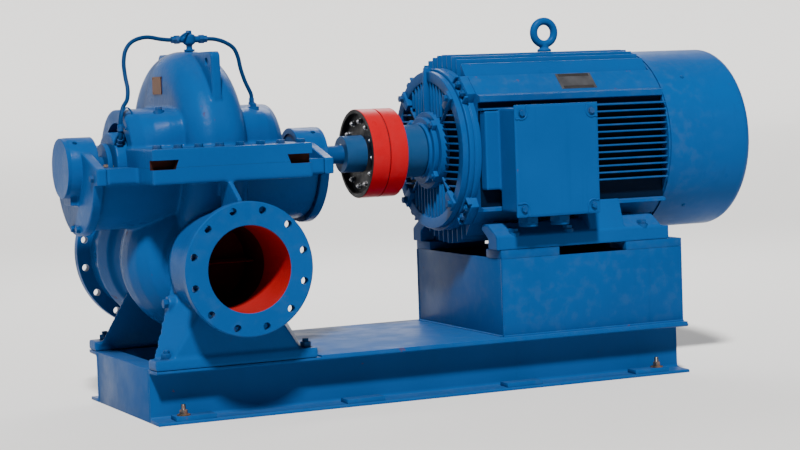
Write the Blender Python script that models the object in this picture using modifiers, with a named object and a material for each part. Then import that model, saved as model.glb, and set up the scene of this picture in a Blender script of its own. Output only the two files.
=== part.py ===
"""Horizontal split case pump with its drive motor, on one welded base frame.

Units are metres, +Z up. +X runs along the shaft from the pump to the motor, and the
discharge flange faces -Y. The origin is at the middle of the set, at floor level.
"""
import math

import bmesh
import bpy
from mathutils import Matrix, Vector

# Whole set
SHAFT_Z = 0.7533
PUMP_X = -0.719
SET_HALF_LENGTH = 1.1375
GAP = 0.0003
OVERLAP = 0.004
CUT_MARGIN = 0.010
CUT_REACH = 0.600

# Base frame of rolled channel
BASE_X0 = -0.9725
BASE_X1 = 0.840
BASE_HEIGHT = 0.160
BASE_WEB_Y = 0.266
BASE_TIP_Y = 0.3415
CHANNEL_WEB = 0.008
CHANNEL_FLANGE = 0.011
CROSS_FLANGE_WIDTH = 0.068
ANCHOR_PAD_SIZE = (0.125, 0.052, 0.012)
ANCHOR_PAD_X = (-0.855, -0.310, 0.237, 0.702)
ANCHOR_HOLE_R = 0.009
DECK_THICKNESS = 0.006
DECK_X0 = -0.452
DECK_Z = BASE_HEIGHT + DECK_THICKNESS

# Motor pedestal of welded plate
PEDESTAL_X0 = 0.1794
PEDESTAL_X1 = BASE_X1
PEDESTAL_Y = 0.312
PEDESTAL_PLATE = 0.010
PAD_THICKNESS = 0.027
PAD_TOP_Z = 0.4383
PAD_WIDTH = 0.105
PAD_LENGTH = 0.208

# Pump casing
FLANGE_HALF_X = 0.249
FLANGE_HALF_Y = 0.370
UPPER_FLANGE_Z = 0.8082
LOWER_FLANGE_Z = 0.7044
SLOT_LENGTH = 0.080
SLOT_DEPTH = 0.026
SLOT_Z0 = 0.7480
SLOT_Z1 = 0.7760
VOLUTE_R = 0.330
VOLUTE_Y = 0.030
VOLUTE_Z = SHAFT_Z + 0.010
VOLUTE_WIDTH = 0.196
VOLUTE_EDGE = 0.084
TROUGH_R = 0.192
BULGE_END_X = 0.240
BULGE_HEIGHT = 0.170
BULGE_SECTIONS = ((0.040, 0.224, 5.2), (0.098, 0.223, 5.2), (0.140, 0.217, 4.6), (0.180, 0.207, 3.8),
                  (0.210, 0.194, 3.0), (0.228, 0.181, 2.4), (0.240, 0.170, 2.0))
STUFFING_R = 0.102
STUFFING_END_X = 0.270
WINDOW_R = 0.130
WINDOW_DEPTH = 0.045
BRACKET_X0 = 0.345
BRACKET_X1 = 0.375
BRACKET_R = 0.206
BRACKET_HALF_Y = 0.233
BEARING_R = 0.0915
BEARING_X0 = 0.322
BEARING_X1 = 0.4185
BEARING_COVER = 0.012
BRACKET_EAR = (0.075, 0.048)
SUMP_X0 = 0.360
SUMP_X1 = 0.400
SUMP_HALF_Y = 0.034
SUMP_DROP = (0.112, 0.060)
GLAND_R = 0.070
GLAND_THICKNESS = 0.020
LUG_THICKNESS = 0.029
LUG_TOP_Z = 1.088
LUG_FRONT_Y = 0.250
LUG_ROOT_Z = 0.903
LUG_INNER_Y = 0.040
LUG_CORNER = 0.018
LUG_HOLE_R = 0.0125
LUG_HOLE_Y = 0.206
LUG_HOLE_Z = 1.058
RIB_THICKNESS = 0.016
RIB_X = -0.730
RIB_OUTLINE = ((-0.302, 0.7041), (-0.366, 0.7041), (-0.452, 0.651), (-0.452, 0.580), (-0.292, 0.580))
CHAMBER = ((0.2344, 0.201), (0.215, 0.195), (0.185, 0.186), (0.156, 0.187), (0.120, 0.203), (0.080, 0.221),
           (0.040, 0.231), (0.000, 0.230), (-0.040, 0.214), (-0.075, 0.185), (-0.100, 0.145))
SCROLL_ROOT_R = 0.105
SCROLL_ROOT_Y = 0.030
PASSAGE_END_Y = 0.100
PASSAGE_MOUTH_Y = 0.300
PASSAGE_STEP = 0.0065
TONGUE_LENGTH = 0.080
TONGUE_THICKNESS = 0.010

# Feet of the pump
FOOT_X0 = -0.974
FOOT_X1 = -0.464
FOOT_Y0 = 0.266
FOOT_Y1 = 0.3415
FOOT_TOP_Z = 0.191
LEG_TOP_Z = 0.420
LEG_INNER = ((0.262, 0.240), (0.160, 0.135))
LEG_OUTER = ((0.334, 0.208), (0.345, 0.052))

# Nozzles with their pipe flanges
NOZZLE_FACE_Y = 0.469
NOZZLE_ROOT_Y = 0.235
DISCHARGE_Z = 0.452
DISCHARGE_BORE_R = 0.128
DISCHARGE_NECK_R = 0.166
DISCHARGE_FLANGE_R = 0.1975
DISCHARGE_PCD_R = 0.175
DISCHARGE_HOLES = 12
DISCHARGE_FLANGE = 0.029
NECK_IN_FLANGE = 0.014
SUCTION_Z = 0.459
SUCTION_BORE_R = 0.175
SUCTION_NECK_R = 0.207
SUCTION_BELL_R = 0.227
SUCTION_BELL_Y = 0.300
SUCTION_NECK_Y = 0.400
SUCTION_ROOT_R = 0.215
SUCTION_FLANGE_R = 0.2525
SUCTION_PCD_R = 0.230
SUCTION_HOLES = 16
SUCTION_FLANGE = 0.034
FLANGE_HOLE_R = 0.0115

# Shafts and coupling
PUMP_SHAFT_R = 0.030
PUMP_SHAFT_X0 = -1.118
SHAFT_CLEARANCE = 0.0007
COUPLING_X0 = -0.1698
COUPLING_X1 = -0.0489
COUPLING_SEAM = 0.003
COUPLING_R = 0.1416
PUMP_HUB_X0 = -0.221
PUMP_HUB_R = 0.0585
MOTOR_HUB_X1 = 0.047
MOTOR_HUB_R = 0.085
MOTOR_SHAFT_R = 0.040
MOTOR_SHAFT_X1 = 0.990

# Motor
CAP_X0 = 0.0525
CAP_X1 = 0.0754
CAP_R = 0.107
SHIELD_BOSS_R = 0.124
SHIELD_X0 = 0.0871
SHIELD_X1 = 0.1070
SHIELD_R = 0.2539
SHIELD_RECESS_R = 0.222
FRAME_X0 = 0.1073
FRAME_RING_X1 = 0.150
FRAME_RING_R = 0.262
FRAME_X1 = 0.8150
FRAME_ROOT_R = 0.250
FIN_ROOT = 0.0072
FIN_TIP = 0.0050
TOP_FIN_R = 0.3055
TOP_FIN_PITCH = 0.034
TOP_FIN_COUNT = 9
SIDE_FIN_Y = 0.283
SIDE_FIN_PITCH = 0.0219
SIDE_FIN_COUNT = 12
SIDE_FIN_MIDDLE = 0.0072
SIDE_ROOT_Y = 0.246
SIDE_PAD = ((0.172, 0.226), (0.182, 0.234), (0.240, 0.176), (0.262, 0.170), (0.261, 0.152), (0.246, 0.149))
LOWER_PAD = ((0.246, -0.180), (0.262, -0.184), (0.262, -0.193), (0.222, -0.195), (0.183, -0.234),
             (0.172, -0.226))
EYEBOLT_BOSS_R = 0.028
FOOT_WEB_X = (0.505, 0.632)
FOOT_INNER_Y = 0.1822
MOTOR_FOOT_X0 = 0.166
MOTOR_FOOT_X1 = 0.795
MOTOR_FOOT_Y = 0.311
FOOT_RAIL_Z = 0.482
FOOT_SLOPE = ((0.1822, 0.470), (0.306, 0.470), (0.306, 0.486), (0.250, 0.5185), (0.1822, 0.5185))
FOOT_SLOPE_X1 = 0.768
FOOT_WEB = ((0.306, 0.470), (0.306, 0.486), (0.276, 0.5770), (0.2626, 0.5770), (0.2626, 0.5598), (0.2223, 0.5579),
            (0.1834, 0.5190), (0.1834, 0.470))
REAR_SHIELD_X1 = 0.850
COVER_X0 = 0.8219
COVER_R = 0.2974
COVER_PLATE = 0.004
COVER_EDGE = 0.034
COVER_MOUTH_R = 0.200
FAN_X0 = 0.930
FAN_X1 = 0.985
FAN_R = 0.235
FAN_HUB_R = 0.070
FAN_DISC = 0.005
FAN_BLADES = 8
FAN_BLADE_HALF = 0.003
GRILLE_MIDDLE_R = 0.030
GRILLE_BAR = 0.010
GRILLE_RINGS = 3
GRILLE_SPOKES = 6
GRILLE_SPOKE_HALF = 0.004
NECK_X0 = 0.150
NECK_X1 = 0.470
NECK_Z0 = 0.628
NECK_Z1 = 0.876
BOX_X0 = 0.197
BOX_X1 = 0.493
BOX_Y0 = 0.300
BOX_Y1 = 0.386
BOX_Z0 = 0.563
BOX_Z1 = 0.882
BOX_STEP = 0.004
BOX_COVER_Y1 = 0.400
BOX_COVER_Z0 = 0.543
BOX_COVER_Z1 = 0.893
GLAND_STUB_R = 0.030
GLAND_STUB_X = (0.262, 0.375)
GLAND_STUB_Z0 = 0.512
EYEBOLT_X = 0.524
EYEBOLT_Z = 1.122
EYEBOLT_RING_R = 0.0395
EYEBOLT_WIRE_R = 0.0115
EYEBOLT_SHANK = (0.024, 0.014)

# Seal water pipes, as points along their centre lines
PIPE_R = 0.0065
COCK_X = -0.713
COCK_Z = 1.130
COCK_BODY_R = 0.020
COCK_BODY_HALF = 0.016
COCK_TOP = 0.028
COCK_ARM = 0.058
COCK_ARM_R = 0.011
COCK_SEAT_Z = 1.0922
LEFT_PIPE = (
    (-0.7716, 0.0, 1.130), (-0.780, 0.0, 1.130), (-0.805, 0.0, 1.133), (-0.850, 0.0, 1.140),
    (-0.895, -0.009, 1.129),
    (-0.922, -0.018, 1.103), (-0.933, -0.027, 1.066), (-0.934, -0.038, 1.025), (-0.934, -0.058, 0.985),
    (-0.943, -0.076, 0.953), (-0.961, -0.090, 0.931), (-0.972, -0.098, 0.900), (-0.975, -0.099, 0.870),
    (-0.975, -0.094, 0.8400), (-0.975, -0.0759, 0.8219))
RIGHT_PIPE = (
    (-0.6544, 0.0, 1.130), (-0.647, 0.0, 1.130), (-0.626, 0.0, 1.128), (-0.598, 0.0, 1.119),
    (-0.570, 0.0, 1.101),
    (-0.556, 0.0, 1.073), (-0.548, 0.0, 1.035), (-0.535, 0.0, 0.995), (-0.518, 0.0, 0.958),
    (-0.516, 0.0, 0.940), (-0.516, 0.0, 0.9234))

# Colours of the paint and the bare metal
BLUE = (0.012, 0.130, 0.375, 1.0)
RED = (0.760, 0.030, 0.028, 1.0)
BLACK = (0.020, 0.020, 0.022, 1.0)
GREY = (0.300, 0.310, 0.330, 1.0)

FINE = 48
ROUND = 36
BORE_ROUND = 32
SMALL_ROUND = 16
COCK_ROUND = 12
HOLE_ROUND = 10
SMOOTH_ANGLE = math.radians(35.0)


def clear_scene():
    for item in list(bpy.data.objects):
        bpy.data.objects.remove(item, do_unlink=True)


def new_collection(name):
    collection = bpy.data.collections.new(name)
    bpy.context.scene.collection.children.link(collection)
    return collection


clear_scene()
PARTS = new_collection("split_case_pump")
CUTTERS = new_collection("cutters")


def finish_material(name, colour, roughness, metallic):
    material = bpy.data.materials.new(name)
    material.use_nodes = True
    shader = material.node_tree.nodes["Principled BSDF"]
    shader.inputs["Base Color"].default_value = colour
    shader.inputs["Roughness"].default_value = roughness
    shader.inputs["Metallic"].default_value = metallic
    return material


def blue_paint(node):
    return finish_material(node + "_paint", BLUE, 0.38, 0.0)


def red_paint(node):
    return finish_material(node + "_paint", RED, 0.42, 0.0)


def black_metal(node):
    return finish_material(node + "_metal", BLACK, 0.5, 0.3)


def bare_steel(node):
    return finish_material(node + "_steel", GREY, 0.35, 1.0)


def link_mesh(name, mesh, collection):
    item = bpy.data.objects.new(name, mesh)
    collection.objects.link(item)
    if collection is CUTTERS:
        item.hide_render = True
        item.display_type = "WIRE"
    return item


def from_bmesh(name, shape, collection):
    mesh = bpy.data.meshes.new(name)
    shape.to_mesh(mesh)
    shape.free()
    return link_mesh(name, mesh, collection)


def box(name, low, high, collection=None):
    """A block between two opposite corners."""
    shape = bmesh.new()
    bmesh.ops.create_cube(shape, size=1.0)
    size = Vector(high) - Vector(low)
    middle = (Vector(high) + Vector(low)) / 2.0
    bmesh.ops.scale(shape, vec=size, verts=shape.verts)
    bmesh.ops.translate(shape, vec=middle, verts=shape.verts)
    return from_bmesh(name, shape, collection or PARTS)


def axis_turn(axis):
    """The turn that takes local +Z to the named axis."""
    turns = {
        "X": Matrix.Rotation(math.pi / 2.0, 4, "Y"),
        "Y": Matrix.Rotation(-math.pi / 2.0, 4, "X"),
        "-Y": Matrix.Rotation(math.pi / 2.0, 4, "X"),
        "Z": Matrix.Identity(4),
    }
    return turns[axis]


def rod(name, axis, centre, start, end, radius, sides=ROUND, collection=None, end_radius=None):
    """A cylinder or cone along an axis. start and end are distances along that axis."""
    shape = bmesh.new()
    bmesh.ops.create_cone(shape, cap_ends=True, segments=sides, radius1=radius,
                          radius2=radius if end_radius is None else end_radius, depth=end - start)
    bmesh.ops.translate(shape, vec=(0.0, 0.0, (start + end) / 2.0), verts=shape.verts)
    bmesh.ops.transform(shape, matrix=Matrix.Translation(centre) @ axis_turn(axis), verts=shape.verts)
    return from_bmesh(name, shape, collection or PARTS)


def turned(name, axis, centre, profile, sides=ROUND, collection=None):
    """A turned body. The profile runs down the outer side as (radius, height) points."""
    mesh = bpy.data.meshes.new(name)
    points = [(radius, 0.0, height) for radius, height in profile]
    closed = profile[0][0] > 0.0
    edges = [(i, i + 1) for i in range(len(points) - 1)]
    if closed:
        edges.append((len(points) - 1, 0))
    mesh.from_pydata(points, edges, [])
    item = link_mesh(name, mesh, collection or PARTS)
    item.matrix_world = Matrix.Translation(centre) @ axis_turn(axis)
    screw = item.modifiers.new("turn", "SCREW")
    screw.steps = sides
    screw.render_steps = sides
    screw.use_merge_vertices = True
    screw.merge_threshold = 0.00005
    return item


def outline(name, points, thickness, place, collection=None):
    """A flat outline with a thickness, made as a filled curve and turned into a mesh."""
    curve = bpy.data.curves.new(name, "CURVE")
    curve.dimensions = "2D"
    curve.fill_mode = "BOTH"
    curve.extrude = thickness / 2.0
    spline = curve.splines.new("POLY")
    spline.points.add(len(points) - 1)
    for point, (u, v) in zip(spline.points, points):
        point.co = (u, v, 0.0, 1.0)
    spline.use_cyclic_u = True
    return curve_to_mesh(name, curve, place, collection or PARTS)


def curve_to_mesh(name, curve, place, collection):
    guide = bpy.data.objects.new(name + "_curve", curve)
    bpy.context.scene.collection.objects.link(guide)
    guide.matrix_world = place
    bpy.context.view_layer.update()
    evaluated = guide.evaluated_get(bpy.context.evaluated_depsgraph_get())
    mesh = bpy.data.meshes.new_from_object(evaluated)
    shape = bmesh.new()
    shape.from_mesh(mesh)
    bmesh.ops.remove_doubles(shape, verts=shape.verts, dist=0.00002)
    bmesh.ops.recalc_face_normals(shape, faces=shape.faces)
    shape.to_mesh(mesh)
    shape.free()
    bpy.data.objects.remove(guide, do_unlink=True)
    item = link_mesh(name, mesh, collection)
    item.matrix_world = place
    return item


def across_x(x):
    """Puts an outline drawn as (y, z) in a plane across the shaft."""
    return Matrix.Translation((x, 0.0, 0.0)) @ Matrix(
        ((0, 0, 1, 0), (1, 0, 0, 0), (0, 1, 0, 0), (0, 0, 0, 1)))


def across_y(y):
    """Puts an outline drawn as (x, z) in a plane along the shaft."""
    return Matrix.Translation((0.0, y, 0.0)) @ Matrix.Rotation(math.pi / 2.0, 4, "X")


def tube(name, route, radius, collection=None):
    """A pipe along a smooth curve through the route's points."""
    curve = bpy.data.curves.new(name, "CURVE")
    curve.dimensions = "3D"
    curve.bevel_depth = radius
    curve.bevel_resolution = 2
    curve.use_fill_caps = True
    points = smooth_route(route, 2)
    spline = curve.splines.new("POLY")
    spline.points.add(len(points) - 1)
    for point, place in zip(spline.points, points):
        point.co = (place[0], place[1], place[2], 1.0)
    return curve_to_mesh(name, curve, Matrix.Identity(4), collection or PARTS)


def smooth_route(route, steps):
    """Points on a smooth curve that passes through every point of the route."""
    points = [Vector(place) for place in route]
    ends = [points[0] * 2.0 - points[1]] + points + [points[-1] * 2.0 - points[-2]]
    result = []
    for index in range(len(points) - 1):
        before, start, end, after = ends[index:index + 4]
        for step in range(steps):
            t = step / steps
            result.append(0.5 * (2.0 * start + (end - before) * t
                                 + (2.0 * before - 5.0 * start + 4.0 * end - after) * t * t
                                 + (3.0 * start - before - 3.0 * end + after) * t * t * t))
    result.append(points[-1])
    return result


def boolean(target, other, operation):
    other.hide_render = True
    other.display_type = "WIRE"
    change = target.modifiers.new(operation.lower() + "_" + other.name, "BOOLEAN")
    change.operation = operation
    change.solver = "EXACT"
    change.object = other


def fuse(target, *others):
    for other in others:
        boolean(target, other, "UNION")


def cut(target, *others):
    for other in others:
        boolean(target, other, "DIFFERENCE")


def bevel(item, width, segments=2, angle=40.0):
    change = item.modifiers.new("edge", "BEVEL")
    change.width = width
    change.segments = segments
    change.limit_method = "ANGLE"
    change.angle_limit = math.radians(angle)
    change.use_clamp_overlap = True


def dress(item, material):
    """Gives a finished part its material and smooth shading with sharp edges kept."""
    item.data.materials.clear()
    item.data.materials.append(material)
    item.data.shade_smooth()
    item.data.set_sharp_from_angle(angle=SMOOTH_ANGLE)


def channel_outline(web_y, tip_y, low, high, web, flange):
    """A rolled channel's section, with its web at web_y and its flanges out to tip_y."""
    side = 1.0 if tip_y > web_y else -1.0
    inner = web_y - side * web
    return [(inner, low), (tip_y, low), (tip_y, low + flange), (web_y, low + flange),
            (web_y, high - flange), (tip_y, high - flange), (tip_y, high), (inner, high)]


def make_base():
    length = BASE_X1 - BASE_X0
    middle = (BASE_X0 + BASE_X1) / 2.0
    for side, name in ((-1.0, "near"), (1.0, "far")):
        section = channel_outline(side * BASE_WEB_Y, side * BASE_TIP_Y, 0.0, BASE_HEIGHT,
                                  CHANNEL_WEB, CHANNEL_FLANGE)
        channel = outline("base_channel_" + name, section, length, across_x(middle))
        for number, x in enumerate(ANCHOR_PAD_X):
            make_anchor_pad(channel, "anchor_pad_%s_%d" % (name, number), x, side)
        dress(channel, blue_paint(channel.name))

    inner_y = BASE_WEB_Y - CHANNEL_WEB - GAP
    ends = (("base_end_left", BASE_X0, 1.0), ("base_end_right", BASE_X1, -1.0),
            ("base_cross_left", DECK_X0, 1.0), ("base_cross_middle", PEDESTAL_X0, 1.0))
    for name, x, side in ends:
        section = channel_outline(x + side * CHANNEL_WEB, x + side * CROSS_FLANGE_WIDTH, 0.0,
                                  BASE_HEIGHT, CHANNEL_WEB, CHANNEL_FLANGE)
        cross = outline(name, section, 2.0 * inner_y, across_y(0.0))
        dress(cross, blue_paint(name))

    deck = box("deck_plate", (DECK_X0, -BASE_TIP_Y + 0.003, BASE_HEIGHT + GAP),
               (BASE_X1, BASE_TIP_Y - 0.003, DECK_Z))
    dress(deck, blue_paint("deck_plate"))


def make_anchor_pad(channel, name, x, side):
    """A packing pad on the channel's lower flange, with its bolt hole."""
    length, width, height = ANCHOR_PAD_SIZE
    outer = BASE_TIP_Y - 0.004
    low_y, high_y = sorted((side * (outer - width), side * outer))
    pad = box(name, (x - length / 2.0, low_y, CHANNEL_FLANGE - OVERLAP),
              (x + length / 2.0, high_y, CHANNEL_FLANGE + height), CUTTERS)
    fuse(channel, pad)
    if x not in (ANCHOR_PAD_X[0], ANCHOR_PAD_X[-1]):
        return
    hole_x = x - length / 4.0 if x < 0.0 else x + length / 4.0
    hole = rod(name + "_hole", "Z", (hole_x, side * (outer - width / 2.0), 0.0), -0.01,
               CHANNEL_FLANGE + height + 0.01, ANCHOR_HOLE_R, HOLE_ROUND, CUTTERS)
    cut(channel, hole)


def make_pedestal():
    top = PAD_TOP_Z - PAD_THICKNESS
    bottom = DECK_Z + GAP
    for side, name in ((-1.0, "near"), (1.0, "far")):
        low_y, high_y = sorted((side * PEDESTAL_Y, side * (PEDESTAL_Y - PEDESTAL_PLATE)))
        plate = box("pedestal_side_" + name, (PEDESTAL_X0, low_y, bottom),
                    (PEDESTAL_X1, high_y, top - GAP))
        dress(plate, blue_paint(plate.name))
        spans = (("left", PEDESTAL_X0, PEDESTAL_X0 + PAD_LENGTH),
                 ("right", PEDESTAL_X1 - PAD_LENGTH, PEDESTAL_X1))
        for end, low_x, high_x in spans:
            low_y, high_y = sorted((side * PEDESTAL_Y, side * (PEDESTAL_Y - PAD_WIDTH)))
            pad = box("pedestal_pad_%s_%s" % (name, end), (low_x, low_y, top),
                      (high_x, high_y, PAD_TOP_Z))
            dress(pad, blue_paint(pad.name))
    half_y = PEDESTAL_Y - PEDESTAL_PLATE - GAP
    for end, x in (("left", PEDESTAL_X0), ("right", PEDESTAL_X1 - PEDESTAL_PLATE)):
        plate = box("pedestal_end_" + end, (x, -half_y, bottom), (x + PEDESTAL_PLATE, half_y, top - GAP))
        dress(plate, blue_paint(plate.name))


def volute(name, collection):
    """The casing's round middle, wide enough for the impeller and its scroll."""
    body = rod(name, "X", (PUMP_X, VOLUTE_Y, VOLUTE_Z), -VOLUTE_WIDTH / 2.0, VOLUTE_WIDTH / 2.0,
               VOLUTE_R, 48, collection)
    bevel(body, VOLUTE_EDGE, 5, 50.0)
    return body


def suction_bulge(name, side):
    """The chamber over an impeller eye: a wide bulge by the volute, an arch at its outer end."""
    shape = bmesh.new()
    steps = 14
    rings = []
    for distance, half_y, power in BULGE_SECTIONS:
        x = PUMP_X + side * distance
        ring = [shape.verts.new((x, half_y, LOWER_FLANGE_Z))]
        for index in range(1, steps):
            angle = math.pi * index / steps
            y = math.copysign(half_y * abs(math.cos(angle)) ** (2.0 / power), math.cos(angle))
            z = SHAFT_Z + BULGE_HEIGHT * math.sin(angle) ** (2.0 / power)
            ring.append(shape.verts.new((x, y, z)))
        ring.append(shape.verts.new((x, -half_y, LOWER_FLANGE_Z)))
        rings.append(ring)
    for ring, following in zip(rings, rings[1:]):
        for index in range(-1, len(ring) - 1):
            shape.faces.new((ring[index], ring[index + 1], following[index + 1], following[index]))
    shape.faces.new(rings[0])
    shape.faces.new(rings[-1])
    bmesh.ops.recalc_face_normals(shape, faces=shape.faces)
    return from_bmesh(name, shape, CUTTERS)


def lifting_lug(name, side):
    """A cast ear in the middle plane, with a hole for a shackle."""
    inner_y = side * LUG_INNER_Y
    front_y = side * LUG_FRONT_Y
    points = [(inner_y, LUG_ROOT_Z), (front_y, LUG_ROOT_Z), (front_y, LUG_TOP_Z - LUG_CORNER),
              (side * (LUG_FRONT_Y - LUG_CORNER), LUG_TOP_Z), (inner_y, LUG_TOP_Z)]
    return outline(name, points, LUG_THICKNESS, across_x(PUMP_X), CUTTERS)


def make_upper_casing():
    low_z = SHAFT_Z + GAP / 2.0
    casing = box("casing_upper", (PUMP_X - FLANGE_HALF_X, -FLANGE_HALF_Y, low_z - CUT_MARGIN),
                 (PUMP_X + FLANGE_HALF_X, FLANGE_HALF_Y, UPPER_FLANGE_Z))
    fuse(casing, volute("upper_volute", CUTTERS), suction_bulge("upper_bulge_left", -1.0),
         suction_bulge("upper_bulge_right", 1.0))
    fuse(casing, lifting_lug("lug_near", -1.0), lifting_lug("lug_far", 1.0))
    for side, name in ((-1.0, "left"), (1.0, "right")):
        low, high = sorted((side * BULGE_END_X, side * (BULGE_END_X - WINDOW_DEPTH)))
        window = rod("window_" + name, "X", (PUMP_X, 0.0, SHAFT_Z), low - (CUT_MARGIN if side < 0 else 0.0),
                     high + (CUT_MARGIN if side > 0 else 0.0), WINDOW_R, ROUND, CUTTERS)
        cut(casing, window)
    stuffing = rod("upper_stuffing_box", "X", (PUMP_X, 0.0, SHAFT_Z), -STUFFING_END_X,
                   STUFFING_END_X, STUFFING_R, ROUND, CUTTERS)
    fuse(casing, stuffing)
    below = box("below_split", (PUMP_X - CUT_REACH, -CUT_REACH, 0.0), (PUMP_X + CUT_REACH, CUT_REACH, low_z),
                CUTTERS)
    cut(casing, below, shaft_space("upper_shaft_space"))
    for side, name in ((-1.0, "near"), (1.0, "far")):
        hole = rod("lug_hole_" + name, "X", (PUMP_X, side * LUG_HOLE_Y, LUG_HOLE_Z), -LUG_THICKNESS,
                   LUG_THICKNESS, LUG_HOLE_R, SMALL_ROUND, CUTTERS)
        cut(casing, hole)
        for end in (-1.0, 1.0):
            cut(casing, pry_slot("upper_slot_%s_%d" % (name, int(end)), side, end))
    dress(casing, blue_paint("casing_upper"))


def pry_slot(name, side, end):
    """The slot at a corner of the split, where a bar lifts the upper half off."""
    outer_x = FLANGE_HALF_X + CUT_MARGIN
    low_x, high_x = sorted((PUMP_X + end * outer_x, PUMP_X + end * (FLANGE_HALF_X - SLOT_LENGTH)))
    low_y, high_y = sorted((side * (FLANGE_HALF_Y + CUT_MARGIN), side * (FLANGE_HALF_Y - SLOT_DEPTH)))
    return box(name, (low_x, low_y, SLOT_Z0), (high_x, high_y, SLOT_Z1), CUTTERS)


def shaft_space(name):
    return rod(name, "X", (PUMP_X, 0.0, SHAFT_Z), -CUT_REACH, CUT_REACH, PUMP_SHAFT_R + SHAFT_CLEARANCE,
               BORE_ROUND, CUTTERS)


def chamber(name, growth):
    """The suction side's round body: a bulge round the impeller eyes, and a waist behind it."""
    end_y = NOZZLE_ROOT_Y if growth else CHAMBER[0][0]
    profile = [(0.0, end_y), (CHAMBER[0][1] + growth, end_y)]
    profile += [(radius + growth, y) for y, radius in CHAMBER[1:]]
    profile.append((0.0, CHAMBER[-1][0]))
    return turned(name, "Y", (PUMP_X, 0.0, SUCTION_Z), profile, ROUND, CUTTERS)


def scroll_root(name, growth):
    """The cone that widens from the scroll to the discharge neck."""
    return rod(name, "-Y", (PUMP_X, 0.0, DISCHARGE_Z), SCROLL_ROOT_Y, NOZZLE_ROOT_Y + 0.001,
               SCROLL_ROOT_R + growth, ROUND, CUTTERS, DISCHARGE_NECK_R + 0.006 + growth)


def neck_spaces(name):
    """Room round the two nozzle necks, so that they seat on the casting with a hair's gap."""
    discharge = rod(name + "_discharge", "-Y", (PUMP_X, 0.0, DISCHARGE_Z), NOZZLE_ROOT_Y - GAP, CUT_REACH,
                    DISCHARGE_NECK_R + GAP, ROUND, CUTTERS)
    suction = suction_bell(name + "_suction", NOZZLE_ROOT_Y - GAP, GAP)
    return discharge, suction


def suction_bell(name, root, growth):
    """The suction neck, a little wider in the middle than at its ends."""
    end_y = NOZZLE_FACE_Y - NECK_IN_FLANGE
    profile = [(0.0, end_y), (SUCTION_NECK_R + growth, end_y), (SUCTION_NECK_R + growth, SUCTION_NECK_Y),
               (SUCTION_BELL_R + growth, SUCTION_BELL_Y), (SUCTION_ROOT_R + growth, root), (0.0, root)]
    return turned(name, "Y", (PUMP_X, 0.0, SUCTION_Z), profile, ROUND, CUTTERS)


def make_feet():
    for side, name in ((-1.0, "near"), (1.0, "far")):
        low_y, high_y = sorted((side * FOOT_Y0, side * FOOT_Y1))
        foot = box("pump_foot_" + name, (FOOT_X0, low_y, BASE_HEIGHT + GAP), (FOOT_X1, high_y, FOOT_TOP_Z))
        fuse(foot, pump_leg("leg_" + name, side))
        if side < 0.0:
            cut(foot, scroll_root("leg_space_near", GAP))
        cut(foot, chamber("chamber_space_" + name, GAP))
        cut(foot, *neck_spaces("foot_space_" + name))
        dress(foot, blue_paint(foot.name))


def pump_leg(name, side):
    """The tapered leg that carries a nozzle's side of the casing on its foot."""
    shape = bmesh.new()
    bmesh.ops.create_cube(shape, size=1.0)
    middle = (FOOT_X0 + FOOT_X1) / 2.0
    for vertex in shape.verts:
        edge = LEG_OUTER if vertex.co.y > 0.0 else LEG_INNER
        y, half_x = edge[1] if vertex.co.z > 0.0 else edge[0]
        z = LEG_TOP_Z if vertex.co.z > 0.0 else FOOT_TOP_Z - OVERLAP
        vertex.co = (middle + math.copysign(half_x, vertex.co.x), y, z)
    if side < 0.0:
        bmesh.ops.scale(shape, vec=(1.0, -1.0, 1.0), verts=shape.verts)
        bmesh.ops.reverse_faces(shape, faces=shape.faces)
    bmesh.ops.triangulate(shape, faces=shape.faces)
    return from_bmesh(name, shape, CUTTERS)


def make_lower_casing():
    high_z = SHAFT_Z - GAP / 2.0
    casing = box("casing_lower", (PUMP_X - FLANGE_HALF_X, -FLANGE_HALF_Y, LOWER_FLANGE_Z),
                 (PUMP_X + FLANGE_HALF_X, FLANGE_HALF_Y, high_z + 0.02))
    end_x = BRACKET_X0 - GAP
    trough = rod("trough", "X", (PUMP_X, 0.0, SHAFT_Z), -end_x, end_x, TROUGH_R, ROUND, CUTTERS)
    arms = box("bracket_arms", (PUMP_X - end_x, -BRACKET_HALF_Y, LOWER_FLANGE_Z + 0.001),
               (PUMP_X + end_x, BRACKET_HALF_Y, high_z + CUT_MARGIN), CUTTERS)
    fuse(casing, trough, arms, volute("lower_volute", CUTTERS))
    fuse(casing, chamber("suction_chamber", 0.0), scroll_root("discharge_root", 0.0))
    make_lower_cuts(casing, high_z)
    dress(casing, blue_paint("casing_lower"))


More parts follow.
